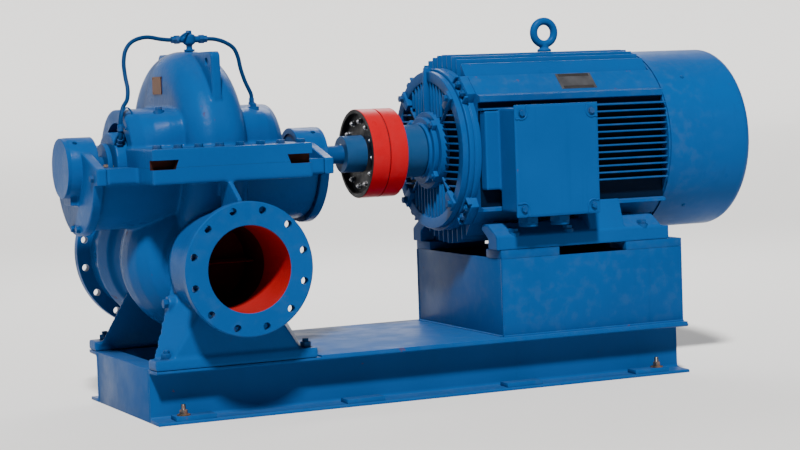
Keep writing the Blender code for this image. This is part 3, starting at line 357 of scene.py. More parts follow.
def paint(name, colour, gloss=0.34, casting=0.0, dust=0.16, wear=0.5, rust=0.5):
    """Enamel over metal: patchy colour, run marks, dust on top, worn edges and specks of rust."""
    surface = Surface(name)
    patches = surface.span(surface.noise(3.5, 5.0), 0.30, 0.72)
    shade = surface.mix(patches, tint(colour, 0.95), tint(colour, 1.05))
    runs = surface.noise(1.0, 4.0, stretch=(34.0, 34.0, 2.2))
    shade = surface.mix(surface.span(runs, 0.58, 0.78, 0.0, 0.20), shade, tint(colour, 0.62))
    fine = surface.noise(70.0, 4.0)
    top = surface.span(surface.upward(), 0.55, 1.0)
    settled = surface.sum("MULTIPLY", top, surface.span(fine, 0.30, 0.70, dust * 0.40, dust * 1.5))
    shade = surface.mix(settled, shade, DUST)
    edge = surface.span(surface.geometry.outputs["Pointiness"], 0.525, 0.600)
    worn = surface.sum("MULTIPLY", edge, surface.span(surface.noise(28.0, 4.0), 0.45, 0.68, 0.0, wear))
    shade = surface.mix(worn, shade, tuple(0.80 * channel + 0.022 for channel in colour))
    specks = surface.span(surface.noise(16.0, 6.0, 0.65), 0.675, 0.720, 0.0, rust)
    shade = surface.mix(specks, shade, RUST)
    rough = surface.sum("ADD", surface.span(surface.noise(9.0, 3.0), 0.30, 0.70, gloss - 0.07, gloss + 0.10),
                        surface.sum("MULTIPLY", surface.sum("ADD", settled, specks), 0.45))
    if casting > 0.0:
        surface.bump(surface.noise(55.0, 5.0, 0.6), casting, 0.0022)
    surface.bump(surface.noise(210.0, 2.0), 0.22, 0.0007)
    return surface.done(shade, rough, 0.0, Specular_IOR_Level=0.045)


def metal(name, colour, rough=0.35, rust=0.6, grain=0.25, threshold=0.52):
    """Bare or plated steel with brown bloom."""
    surface = Surface(name)
    shade = surface.mix(surface.span(surface.noise(22.0, 4.0), 0.3, 0.7), tint(colour, 0.72), tint(colour, 1.12))
    bloom = surface.span(surface.noise(38.0, 6.0, 0.65), threshold, threshold + 0.16, 0.0, rust)
    shade = surface.mix(bloom, shade, RUST)
    surface.bump(surface.noise(320.0, 2.0), grain, 0.0005)
    return surface.done(shade, surface.span(bloom, 0.0, 1.0, rough, 0.85), surface.span(bloom, 0.0, 0.8, 1.0, 0.1))


def dull(name, colour, rough=0.7, grain=0.4, dust=0.10):
    """Rubber, black cast iron or a rusty inside face."""
    surface = Surface(name)
    shade = surface.mix(surface.span(surface.noise(14.0, 5.0), 0.3, 0.7), tint(colour, 0.6), tint(colour, 1.35))
    top = surface.sum("MULTIPLY", surface.span(surface.upward(), 0.2, 0.95), dust * 2.0)
    shade = surface.mix(top, shade, DUST)
    surface.bump(surface.noise(120.0, 4.0), grain, 0.0012)
    gloss = surface.span(surface.noise(30.0), 0.3, 0.7, rough - 0.1, rough + 0.12)
    return surface.done(shade, gloss, 0.0, Specular_IOR_Level=0.12)


BLUE = (0.0012, 0.050, 0.182)
CAST_BLUE = paint("cast_blue", BLUE, 0.34, casting=0.45, dust=0.04)
PLATE_BLUE = paint("plate_blue", tint(BLUE, 0.92), 0.38, casting=0.12, dust=0.05, rust=0.6)
MOTOR_BLUE = paint("motor_blue", tint(BLUE, 1.02), 0.36, casting=0.22, dust=0.05)
SHEET_BLUE = paint("sheet_blue", tint(BLUE, 1.04), 0.34, casting=0.0, dust=0.04, rust=0.1)
NUT_BLUE = paint("nut_blue", tint(BLUE, 0.80), 0.40, casting=0.15, dust=0.05, wear=0.9, rust=0.9)
RED_ENAMEL = paint("red_enamel", (0.340, 0.0032, 0.0085), 0.32, casting=0.08, dust=0.02, wear=0.3, rust=0.2)
INNER_RED = paint("inner_red", (0.250, 0.007, 0.008), 0.55, casting=0.6, dust=0.02, wear=0.2, rust=0.5)
# Painted shade: a near-black red for the deep inside of the nozzles, standing in for the shade that falls there.
PAINTED_SHADE_RED = paint("painted_shade_red", (0.040, 0.003, 0.002), 0.70, casting=0.8, dust=0.0, wear=0.0, rust=0.8)
# Painted shade: a near-black blue for the roots between the motor's side fins and the floor of the end shield's open
# side sectors, standing in for the shade in these recesses.
PAINTED_SHADE_BLUE = paint("painted_shade_blue", tint(BLUE, 0.10), 0.60, casting=0.2, dust=0.0, wear=0.0, rust=0.1)
DECK_PAINT = paint("deck_paint", tint(BLUE, 1.02), 0.42, casting=0.10, dust=0.03, rust=0.7)
PIPE_PAINT = paint("pipe_paint", tint(BLUE, 0.50), 0.42, casting=0.0, dust=0.04, wear=0.8, rust=1.0)
SHAFT_PAINT = paint("shaft_paint", tint(BLUE, 0.75), 0.36, casting=0.0, dust=0.04, wear=0.9, rust=0.8)
HUB_PAINT = paint("hub_paint", (0.008, 0.044, 0.125), 0.38, casting=0.15, dust=0.04, wear=0.8, rust=0.8)
STEEL = metal("machined_steel", (0.24, 0.25, 0.27), 0.30, rust=0.35)
BOLT_STEEL = metal("bolt_steel", (0.13, 0.125, 0.12), 0.42, rust=0.75, threshold=0.46)
BRASS = metal("brass", (0.17, 0.115, 0.065), 0.45, rust=0.75, threshold=0.44)
COPPER_PLATE = metal("bare_plate_copper", (0.100, 0.034, 0.010), 0.50, rust=0.35, grain=0.10)
SILVER_PLATE = metal("bare_plate_silver", (0.30, 0.31, 0.33), 0.36, rust=0.10, grain=0.10)
IRON = dull("black_iron", (0.014, 0.014, 0.016), 0.50, dust=0.02)
RUBBER = dull("rubber", (0.012, 0.012, 0.012), 0.75)
DARK_RUST = dull("rusty_inside", (0.024, 0.006, 0.005), 0.80, dust=0.0)


# Fasteners

def add_washer(shape, axis, seat, radius, height=0.0026):
    return add_turned(shape, axis, seat, [(0.0, -0.001), (radius, -0.001), (radius, height), (0.0, height)], 28)


def add_nut(shape, axis, seat, flats, stud=0.012, washer=True, height=None):
    """A hexagon nut or bolt head on its washer, with the threaded end of the stud above it."""
    low = 0.0024 if washer else -0.001
    if washer:
        add_washer(shape, axis, seat, flats * 0.64)
    corner = flats / math.sqrt(3.0)
    top = low + (height or flats * 0.52)
    edge = flats * 0.05
    add_turned(shape, axis, seat, [(0.0, low), (corner * 0.95, low), (corner, low + edge), (corner, top - edge),
                                   (corner * 0.90, top), (0.0, top)], 6)
    if stud <= 0.0:
        return
    radius = flats * 0.33
    profile = [(0.0, top - 0.001)]
    turns = max(int(stud / 0.0022), 2)
    for index in range(turns):
        level = top + stud * index / turns
        profile += [(radius, level), (radius * 0.90, level + stud * 0.5 / turns)]
    profile += [(radius * 0.86, top + stud), (0.0, top + stud)]
    add_turned(shape, axis, seat, profile, 20)


def add_socket_screw(shape, axis, seat, radius, height):
    """A small round-headed screw with a dished top."""
    add_turned(shape, axis, seat, [(0.0, -0.001), (radius, -0.001), (radius, height * 0.55),
                                   (radius * 0.82, height * 0.9), (radius * 0.45, height), (0.0, height * 0.97)], 20)


def circle_places(axis, centre, radius, count, first=0.5):
    """Places spaced round a circle; first is the share of a step before the first one."""
    along, across, up = AXES[axis]
    for index in range(count):
        angle = 2.0 * math.pi * (index + first) / count
        yield Vector(centre) + across * (radius * math.cos(angle)) + up * (radius * math.sin(angle))


# Pump casing

VOLUTE_R = 0.330
VOLUTE_Y = 0.030
VOLUTE_Z = SHAFT_Z + 0.010
VOLUTE_HALF = 0.098
VOLUTE_EDGE = 0.084
BULGE_SECTIONS = ((0.040, 0.224, 5.2), (0.098, 0.223, 5.2), (0.140, 0.217, 4.6), (0.180, 0.207, 3.8),
                  (0.210, 0.194, 3.0), (0.228, 0.181, 2.4), (0.240, 0.170, 2.0))
PLUG_X = 0.151
PLUG_Y = -0.150
PLUG_Z = 0.914
BULGE_HEIGHT = 0.170
STUFFING_R = 0.102
STUFFING_X = 0.270
WINDOW_R = 0.130
LUG_Y = 0.206
LUG_Z = 1.058
SLOT_DEPTH = 0.026
BRACKET_HALF_Y = 0.233
ARM_END = 0.3447
BEARING_R = 0.0915
SHAFT_R = 0.030
PLUG_HOLE_Y = -0.050
PLUG_HOLE_Z = 0.070
CHAMBER = ((0.250, 0.208), (0.215, 0.195), (0.185, 0.186), (0.156, 0.187), (0.120, 0.203), (0.080, 0.221),
           (0.030, 0.231), (-0.020, 0.228), (-0.070, 0.215), (-0.115, 0.190), (-0.145, 0.160))
NECK_ROOT_Y = 0.235
DISCHARGE_BORE = 0.128
SUCTION_BORE = 0.175


def add_volute(shape):
    """The casing's round middle, a disc with a wide soft edge."""
    flat = VOLUTE_HALF - VOLUTE_EDGE
    profile = [(0.0, -VOLUTE_HALF)]
    for step in range(13):
        angle = math.pi / 2.0 * step / 12.0
        profile.append((VOLUTE_R - VOLUTE_EDGE + VOLUTE_EDGE * math.sin(angle),
                        -flat - VOLUTE_EDGE * math.cos(angle)))
    profile += [(radius, -distance) for radius, distance in reversed(profile)]
    add_turned(shape, "X", (PUMP_X, VOLUTE_Y, VOLUTE_Z), profile, 128)


def add_bulge(shape, side):
    """The chamber over an impeller eye: wide by the volute, an arch at its outer end."""
    rings = []
    for distance, half_y, power in BULGE_SECTIONS:
        x = PUMP_X + side * distance
        ring = [(x, half_y, SHAFT_Z - 0.02)]
        for index in range(41):
            angle = math.pi * index / 40.0
            y = math.copysign(half_y * abs(math.cos(angle)) ** (2.0 / power), math.cos(angle))
            ring.append((x, y, SHAFT_Z + BULGE_HEIGHT * max(math.sin(angle), 0.0) ** (2.0 / power)))
        ring.append((x, -half_y, SHAFT_Z - 0.02))
        rings.append(ring)
    add_loft(shape, rings)


def add_lug(shape, side):
    points = [(side * 0.04, 0.90), (side * 0.250, 0.90), (side * 0.250, 1.072), (side * 0.246, 1.082),
              (side * 0.236, 1.0878), (side * 0.04, 1.0878)]
    add_prism(shape, "X", points, PUMP_X - 0.0145, PUMP_X + 0.0145)


def slot_cutter(shape):
    """The four pry slots at the corners of the split, wider at the top than below."""
    for side in (-1.0, 1.0):
        for end in (-1.0, 1.0):
            outer = PUMP_X + end * (FLANGE_HALF_X + 0.012)
            points = [(outer, 0.776), (PUMP_X + end * (FLANGE_HALF_X - 0.080), 0.776),
                      (PUMP_X + end * (FLANGE_HALF_X - 0.069), 0.748), (outer, 0.748)]
            add_prism(shape, "Y", points, side * (FLANGE_HALF_Y - SLOT_DEPTH), side * (FLANGE_HALF_Y + 0.012))


def in_slot(point):
    """True inside a pry slot, whose faces stay unpainted."""
    return (0.7475 < point.z < 0.7765 and abs(point.x - PUMP_X) > FLANGE_HALF_X - 0.082
            and FLANGE_HALF_Y - SLOT_DEPTH - 0.001 < abs(point.y) < FLANGE_HALF_Y - 0.001
            and abs(point.x - PUMP_X) < FLANGE_HALF_X - 0.001)


def paint_inside(item, material, test):
    """Gives a second material to the faces whose middle passes a test."""
    item.data.materials.append(material)
    number = len(item.data.materials) - 1
    for face in item.data.polygons:
        if test(face.center):
            face.material_index = number


def make_upper_casing():
    shape = bmesh.new()
    add_box(shape, (PUMP_X - FLANGE_HALF_X, -FLANGE_HALF_Y, SHAFT_Z - 0.03),
            (PUMP_X + FLANGE_HALF_X, FLANGE_HALF_Y, FLANGE_TOP_Z))
    add_volute(shape)
    add_rod(shape, "X", (PUMP_X, 0.0, SHAFT_Z), -STUFFING_X, STUFFING_X, STUFFING_R)
    for side in (-1.0, 1.0):
        add_bulge(shape, side)
        add_lug(shape, side)
    add_rod(shape, "Z", (PUMP_X + 0.006, 0.0, 0.0), 1.05, 1.0915, 0.030, 0.026)
    item = piece("upper_casing", shape)
    cast(item, 0.0042, 3)
    cutter = bmesh.new()
    for side in (-1.0, 1.0):
        ring = [(STUFFING_R, side * 0.195), (WINDOW_R, side * 0.195), (WINDOW_R, side * 0.262),
                (STUFFING_R, side * 0.262)]
        add_turned(cutter, "X", (PUMP_X, 0.0, SHAFT_Z), ring, 96, closed=True)
        add_rod(cutter, "X", (PUMP_X, side * LUG_Y, LUG_Z), -0.03, 0.03, 0.0125, sides=32)
    carve(item, cutter)
    cutter = bmesh.new()
    slot_cutter(cutter)
    add_rod(cutter, "X", (PUMP_X, 0.0, SHAFT_Z), -0.4, 0.4, SHAFT_R + 0.002)
    carve(item, cutter)
    trim(item, (0.0, 0.0, SHAFT_Z + GAP), (0.0, 0.0, -1.0))
    finish(item, CAST_BLUE, replaces=("casing_upper",))
    paint_inside(item, DARK_RUST, in_slot)


def add_leg(shape, side):
    """The tapered leg under a nozzle, with its foot bar."""
    middle = PUMP_X
    bottom = [(middle - 0.240, side * 0.262), (middle + 0.240, side * 0.262),
              (middle + 0.208, side * 0.334), (middle - 0.208, side * 0.334)]
    top = [(middle - 0.135, side * 0.160), (middle + 0.135, side * 0.160),
           (middle + 0.052, side * 0.345), (middle - 0.052, side * 0.345)]
    add_loft(shape, [[(x, y, 0.180) for x, y in bottom], [(x, y, 0.420) for x, y in top]])
    low_y, high_y = sorted((side * 0.266, side * 0.3415))
    add_box(shape, (-0.974, low_y, BASE_HEIGHT - 0.0), (-0.464, high_y, 0.1915))


def make_lower_casing():
    shape = bmesh.new()
    add_box(shape, (PUMP_X - FLANGE_HALF_X, -FLANGE_HALF_Y, FLANGE_LOW_Z),
            (PUMP_X + FLANGE_HALF_X, FLANGE_HALF_Y, SHAFT_Z + 0.03))
    add_box(shape, (PUMP_X - ARM_END, -BRACKET_HALF_Y, FLANGE_LOW_Z + 0.001),
            (PUMP_X + ARM_END, BRACKET_HALF_Y, SHAFT_Z + 0.03))
    add_rod(shape, "X", (PUMP_X, 0.0, SHAFT_Z), -ARM_END, ARM_END, 0.192, sides=128)
    add_volute(shape)
    profile = [(0.0, CHAMBER[0][0])] + [(radius, y) for y, radius in CHAMBER] + [(0.0, CHAMBER[-1][0])]
    add_turned(shape, "Y", (PUMP_X, 0.0, SUCTION_Z), profile, 128)
    neck = [(0.0, 0.100), (0.213, 0.235), (0.227, 0.300), (0.207, 0.400), (0.207, 0.428), (0.213, 0.4355),
            (0.0, 0.4355)]
    add_turned(shape, "Y", (PUMP_X, 0.0, SUCTION_Z), neck, 128)
    neck = [(0.0, 0.030), (0.105, 0.030), (0.166, 0.236), (0.166, 0.424), (0.174, 0.4405), (0.0, 0.4405)]
    add_turned(shape, "-Y", (PUMP_X, 0.0, DISCHARGE_Z), neck, 128)
    rib = [(-0.292, 0.7045), (-0.368, 0.7045), (-0.4405, 0.655), (-0.4405, 0.580), (-0.292, 0.580)]
    add_prism(shape, "X", rib, -0.738, -0.722)
    for side in (-1.0, 1.0):
        add_leg(shape, side)
    add_rod(shape, "-X", (PUMP_X, -0.215, 0.345), 0.100, 0.172, 0.024)
    item = piece("lower_casing", shape)
    cast(item, 0.0053, 3)
    cutter = bmesh.new()
    bore = [(0.0, 0.100), (DISCHARGE_BORE - 0.0065, 0.100), (DISCHARGE_BORE - 0.004, 0.235),
            (DISCHARGE_BORE, 0.250), (DISCHARGE_BORE, 0.480), (0.0, 0.480)]
    add_turned(cutter, "-Y", (PUMP_X, 0.0, DISCHARGE_Z), bore, 128)
    bore = [(0.0, 0.100), (SUCTION_BORE - 0.0065, 0.100), (SUCTION_BORE, 0.250), (SUCTION_BORE, 0.480),
            (0.0, 0.480)]
    add_turned(cutter, "Y", (PUMP_X, 0.0, SUCTION_Z), bore, 128)
    slot_cutter(cutter)
    carve(item, cutter)
    cutter = bmesh.new()
    for side in (-1.0, 1.0):
        add_rod(cutter, "X", (PUMP_X + side * 0.313, 0.0, SHAFT_Z), -0.043, 0.043, BEARING_R + 0.005, sides=96)
    carve(item, cutter)
    trim(item, (0.0, 0.0, SHAFT_Z - GAP), (0.0, 0.0, 1.0))
    finish(item, CAST_BLUE,
           replaces=("casing_lower", "pump_foot_near", "pump_foot_far"))
    paint_inside(item, DARK_RUST, in_slot)
    paint_inside(item, INNER_RED, in_passage)
    # Painted shade: passage faces further in than 0.285 m from the middle plane get the near-black red; the red primer
    # stays near the mouths.
    paint_inside(item, PAINTED_SHADE_RED, lambda point: in_passage(point) and abs(point.y) < 0.285)


def in_passage(point):
    """True inside the two nozzles, whose primer is red."""
    if abs(point.y) < 0.098:
        return False
    limit, level = (DISCHARGE_BORE, DISCHARGE_Z) if point.y < 0.0 else (SUCTION_BORE, SUCTION_Z)
    return math.hypot(point.x - PUMP_X, point.z - level) < limit + 0.0006


def make_splitter():
    """The wall that divides the discharge, seen through the flange."""
    shape = bmesh.new()
    outline = [(-0.092, 0.4565), (-0.172, 0.4545), (-0.180, 0.452), (-0.172, 0.4495), (-0.092, 0.4475)]
    add_prism(shape, "X", outline, PUMP_X - 0.121, PUMP_X + 0.121)
    item = piece("discharge_splitter", shape)
    finish(item, INNER_RED)


def make_nozzle_flange(name, axis, level, bore, neck, radius, thickness, pitch, holes, node):
    """A pipe flange with a plain turned face and drilled holes."""
    back = FACE_Y - thickness
    ring = [(bore, back), (neck + 0.012, back), (radius - 0.002, back), (radius, back + 0.002),
            (radius, FACE_Y - 0.0030), (radius - 0.0030, FACE_Y), (bore + 0.0015, FACE_Y), (bore, FACE_Y - 0.0015)]
    shape = bmesh.new()
    add_turned(shape, axis, (PUMP_X, 0.0, level), ring, 160, closed=True)
    item = piece(name, shape)
    cutter = bmesh.new()
    for place in circle_places(axis, (PUMP_X, 0.0, level), pitch, holes):
        add_rod(cutter, axis, place, back - 0.01, FACE_Y + 0.01, 0.0115, sides=32)
    carve(item, cutter)
    finish(item, CAST_BLUE, replaces=(node,))

    def inside(point):
        return math.hypot(point.x - PUMP_X, point.z - level) < bore + 0.0003
    paint_inside(item, INNER_RED, inside)


def make_casing_studs():
    """Studs and nuts that hold the two halves together."""
    shape = bmesh.new()
    for side in (-1.0, 1.0):
        for index in range(8):
            x = PUMP_X - 0.224 + 0.064 * index
            add_nut(shape, "Z", (x, side * 0.340, FLANGE_TOP_Z - 0.0006), M16, 0.0, height=0.0095)
    item = piece("split_studs", shape)
    finish(item, NUT_BLUE)
    shape = bmesh.new()
    for side in (-1.0, 1.0):
        for x in (-0.930, -0.490):
            add_nut(shape, "Z", (x, side * 0.306, 0.1905), M20, 0.010)
    item = piece("pump_foot_bolts", shape)
    finish(item, NUT_BLUE)
    shape = bmesh.new()
    for side in (-1.0, 1.0):
        seat = (PUMP_X + side * PLUG_X, PLUG_Y, PLUG_Z)
        add_turned(shape, "Z", seat, [(0.0, -0.010), (0.0175, -0.010), (0.0165, 0.004), (0.0, 0.004)], 32)
        add_rod(shape, "Z", seat, 0.003, 0.0145, 0.0105, sides=6, chamfer=0.001)
    add_nut(shape, "-X", (PUMP_X - 0.1715, -0.215, 0.345), 0.026, 0.0, washer=False, height=0.014)
    item = piece("casing_plugs", shape)
    finish(item, NUT_BLUE)


def make_split_line():
    """The dark edge of the gasket between the halves."""
    shape = bmesh.new()
    edge = 0.0004
    add_box(shape, (PUMP_X - FLANGE_HALF_X + edge, -FLANGE_HALF_Y + edge, SHAFT_Z - 0.0009),
            (PUMP_X + FLANGE_HALF_X - edge, FLANGE_HALF_Y - edge, SHAFT_Z + 0.0009))
    item = piece("split_gasket", shape)
    cutter = bmesh.new()
    slot_cutter(cutter)
    for side in (-1.0, 1.0):
        add_box(cutter, (PUMP_X + side * 0.315 - 0.12, -0.132, 0.74), (PUMP_X + side * 0.315 + 0.12, 0.132, 0.77))
    carve(item, cutter)
    finish(item, IRON)


# Bearings, glands and pipes

BRACKET_NEAR = 0.345
BRACKET_FAR = 0.375
BRACKET_R = 0.206
COVER_FACE = 0.4185
COCK_X = -0.713
COCK_Z = 1.130
PIPE_R = 0.0065
LEFT_PIPE = (
    (-0.7716, 0.0, 1.130), (-0.780, 0.0, 1.130), (-0.805, 0.0, 1.133), (-0.850, 0.0, 1.140),
    (-0.895, -0.009, 1.129), (-0.922, -0.018, 1.103), (-0.933, -0.027, 1.066), (-0.934, -0.038, 1.025),
    (-0.934, -0.058, 0.985), (-0.943, -0.076, 0.953), (-0.961, -0.090, 0.931), (-0.972, -0.098, 0.900),
    (-0.975, -0.099, 0.870), (-0.975, -0.094, 0.840), (-0.975, -0.0759, 0.8219))
RIGHT_PIPE = (
    (-0.6544, 0.0, 1.130), (-0.647, 0.0, 1.130), (-0.626, 0.0, 1.128), (-0.598, 0.0, 1.119),
    (-0.570, 0.0, 1.101), (-0.556, 0.0, 1.073), (-0.548, 0.0, 1.035), (-0.535, 0.0, 0.995),
    (-0.518, 0.0, 0.958), (-0.516, 0.0, 0.940), (-0.516, 0.0, 0.9234))


def bracket_outline():
    """Half round below, with ears that slope up to the barrel."""
    points = [(0.075, 0.048), (BRACKET_HALF_Y, 0.0), (BRACKET_HALF_Y, -0.0479)]
    for index in range(41):
        angle = -math.radians(13.6) - math.radians(152.8) * index / 40.0
        points.append((BRACKET_R * math.cos(angle), BRACKET_R * math.sin(angle)))
    points += [(-BRACKET_HALF_Y, -0.0479), (-BRACKET_HALF_Y, 0.0), (-0.075, 0.048)]
    return [(y, z + SHAFT_Z) for y, z in points]


def make_bearing(side, name):
    centre = (PUMP_X, 0.0, SHAFT_Z)
    low, high = sorted((side * 0.322, side * 0.4062))
    shape = bmesh.new()
    add_rod(shape, "X", centre, low + 0.004, high - 0.004, BEARING_R - 0.002, sides=96)
    faces = sorted((PUMP_X + side * BRACKET_NEAR, PUMP_X + side * BRACKET_FAR))
    add_prism(shape, "X", bracket_outline(), faces[0], faces[1])
    sump = sorted((PUMP_X + side * 0.360, PUMP_X + side * 0.400))
    add_box(shape, (sump[0], -0.034, SHAFT_Z - 0.112), (sump[1], 0.034, SHAFT_Z - 0.060))
    item = piece("bearing_bracket_" + name, shape)
    cast(item, 0.0034, 2)
    cutter = bmesh.new()
    add_rod(cutter, "X", centre, side * 0.30, side * 0.44, SHAFT_R + 0.002, sides=64)
    plug = (PUMP_X + side * 0.384, PLUG_HOLE_Y, SHAFT_Z + PLUG_HOLE_Z)
    add_rod(cutter, "Z", plug, -0.006, 0.06, 0.0070, sides=24)
    carve(item, cutter)
    finish(item, CAST_BLUE, replaces=("bearing_housing_" + name,))
    shape = bmesh.new()
    profile = [(SHAFT_R + 0.002, 0.327), (0.074, 0.327), (0.074, 0.322), (BEARING_R - 0.0015, 0.322),
               (BEARING_R, 0.3235), (BEARING_R, 0.4055), (BEARING_R - 0.0006, 0.4066), (SHAFT_R + 0.002, 0.4066)]
    add_turned(shape, "X" if side > 0.0 else "-X", centre, profile, 128, closed=True)
    item = piece("bearing_barrel_" + name, shape)
    cutter = bmesh.new()
    add_rod(cutter, "Z", plug, -0.006, 0.06, 0.0070, sides=24)
    carve(item, cutter)
    finish(item, CAST_BLUE)

    axis = "X" if side > 0.0 else "-X"
    shape = bmesh.new()
    bore = SHAFT_R + 0.001 if side > 0.0 else 0.0
    profile = [(bore, 0.4065), (0.0908, 0.4065), (0.0908, 0.4168), (0.0892, COVER_FACE), (bore, COVER_FACE)]
    add_turned(shape, axis, centre, profile, 128, closed=side > 0.0)
    item = piece("bearing_end_cover_" + name, shape)
    finish(item, CAST_BLUE, replaces=("bearing_cover_" + name,))

    shape = bmesh.new()
    for degrees in (-27.0, 91.0, 207.0):
        angle = math.radians(degrees)
        seat = (PUMP_X + side * (COVER_FACE - 0.0040), 0.0815 * math.cos(angle), SHAFT_Z + 0.0815 * math.sin(angle))
        add_nut(shape, axis, seat, 0.012, 0.0, washer=False, height=0.0044)
    for degrees in (188.0, 262.0, 278.0, 352.0):
        angle = math.radians(degrees)
        reach = 0.197 if abs(math.cos(angle)) > 0.5 else 0.186
        seat = (PUMP_X + side * (BRACKET_FAR - 0.0004), reach * math.cos(angle), SHAFT_Z + reach * math.sin(angle))
        add_nut(shape, axis, seat, M12, 0.0, height=0.009)
    add_rod(shape, "Z", plug, -0.008, 0.002, 0.0046, sides=6)
    item = piece("bearing_bolts_" + name, shape)
    finish(item, NUT_BLUE)


def make_gland(side, name):
    """The gland follower, pulled in by two studs."""
    centre = (PUMP_X, 0.0, SHAFT_Z)
    axis = "X" if side > 0.0 else "-X"
    shape = bmesh.new()
    profile = [(SHAFT_R + 0.0015, 0.2705), (0.044, 0.2705), (0.044, 0.2740), (0.0690, 0.2745), (0.0700, 0.2760),
               (0.0700, 0.2870), (0.0685, 0.2890), (0.046, 0.2890), (0.040, 0.2897), (SHAFT_R + 0.0015, 0.2897)]
    add_turned(shape, axis, centre, profile, 96, closed=True)
    item = piece("gland_follower_" + name, shape)
    finish(item, CAST_BLUE, replaces=("gland_" + name,))
    shape = bmesh.new()
    for spread in (-1.0, 1.0):
        place = (PUMP_X, spread * 0.0565, SHAFT_Z)
        low, high = sorted((side * 0.262, side * 0.318))
        add_rod(shape, "X", place, low, high, 0.0052, sides=16)
        add_nut(shape, axis, (PUMP_X + side * 0.2888, place[1], SHAFT_Z), 0.016, 0.004)
    item = piece("gland_studs_" + name, shape)
    finish(item, BOLT_STEEL)


def make_cock():
    """The vent cross on the crown, with its lever and two pipe unions."""
    centre = (COCK_X, 0.0, COCK_Z)
    shape = bmesh.new()
    add_rod(shape, "X", centre, -0.054, 0.054, 0.0105, sides=32)
    add_turned(shape, "Z", (COCK_X, 0.0, 0.0), [(0.0, 1.092), (0.0125, 1.092), (0.0125, 1.098), (0.0095, 1.101),
               (0.0095, 1.112), (0.0170, 1.116), (0.0190, 1.122), (0.0190, 1.138), (0.0170, 1.144),
               (0.0090, 1.147), (0.0085, 1.1575), (0.0, 1.1575)], 40)
    item = piece("vent_cross", shape)
    cast(item, 0.0016, 2)
    finish(item, NUT_BLUE, replaces=("top_cock",))
    shape = bmesh.new()
    for side in (-1.0, 1.0):
        low, high = sorted((side * 0.032, side * 0.047))
        add_rod(shape, "X", centre, low, high, 0.0150, sides=6, chamfer=0.0012)
        low, high = sorted((side * 0.047, side * 0.0575))
        add_rod(shape, "X", centre, low, high, 0.0122, sides=6, chamfer=0.001)
    add_rod(shape, "Z", (COCK_X, 0.0, 0.0), 1.0925, 1.0995, 0.0175, sides=6, chamfer=0.001)
    lever = [(COCK_X - 0.004, -0.012, 1.150), (COCK_X - 0.016, -0.022, 1.149), (COCK_X - 0.034, -0.030, 1.140),
             (COCK_X - 0.048, -0.034, 1.124)]
    add_tube(shape, smooth_route(lever, 5), 0.0032, 12)
    item = piece("vent_unions", shape)
    finish(item, NUT_BLUE)


def make_seal_pipe(name, route):
    shape = bmesh.new()
    add_tube(shape, smooth_route(route, 6), PIPE_R, 20)
    item = piece("water_pipe_" + name, shape)
    finish(item, PIPE_PAINT, replaces=("seal_pipe_" + name,), angle=60.0)


def make_pipe_ends():
    """The unions where the two pipes enter the casing, and the ring handle of the left one's cock."""
    shape = bmesh.new()
    add_rod(shape, "Z", (-0.516, 0.0, 0.0), 0.9225, 0.931, 0.0110, sides=6, chamfer=0.001)
    add_rod(shape, "Z", (-0.516, 0.0, 0.0), 0.931, 0.944, 0.0088, sides=6, chamfer=0.001)
    made = add_rod(shape, "Z", (0.0, 0.0, 0.0), -0.004, 0.012, 0.0140, sides=6, chamfer=0.001)
    made += add_rod(shape, "Z", (0.0, 0.0, 0.0), 0.012, 0.026, 0.0110, sides=6, chamfer=0.001)
    tilt = Matrix.Translation((-0.975, -0.0735, 0.8195)) @ Matrix.Rotation(math.radians(45.0), 4, "X")
    move(shape, made, tilt)
    add_rod(shape, "Z", (-0.975, -0.099, 0.0), 0.858, 0.880, 0.0092, sides=16, chamfer=0.002)
    for side in (-1.0, 1.0):
        prong = [(-0.975, -0.098, 0.862), (-0.975 + side * 0.010, -0.094, 0.845), (-0.975 + side * 0.013, -0.084, 0.828)]
        add_tube(shape, smooth_route(prong, 4), 0.0034, 10)
    ring = []
    for index in range(29):
        angle = 2.0 * math.pi * index / 28.0
        ring.append((-0.953 + 0.017 * math.cos(angle), -0.102, 0.896 + 0.033 * math.sin(angle)))
    add_tube(shape, ring, 0.0026, 10)
    item = piece("pipe_fittings", shape)
    finish(item, NUT_BLUE)


# Coupling and shafts

COUPLING_X0 = -0.1698
COUPLING_X1 = -0.0489
SEAM_X = (COUPLING_X0 + COUPLING_X1) / 2.0
COUPLING_R = 0.1416
PIN_R = 0.104


def make_shafts():
    centre = (0.0, 0.0, SHAFT_Z)
    shape = bmesh.new()
    low = -1.118
    profile = [(0.0, low), (0.0265, low), (0.0280, low + 0.0015), (0.0280, -1.095), (SHAFT_R, -1.093),
               (SHAFT_R, -0.302), (0.0292, -0.300), (0.0292, -0.226), (SHAFT_R, -0.224), (SHAFT_R, -0.125),
               (0.0, -0.125)]
    add_turned(shape, "X", centre, profile, 64)
    item = piece("pump_shaft_turned", shape)
    finish(item, SHAFT_PAINT, body="rotor", replaces=("pump_shaft",))
    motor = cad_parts["motor_shaft"]
    motor.data.materials.clear()
    motor.data.materials.append(STEEL)


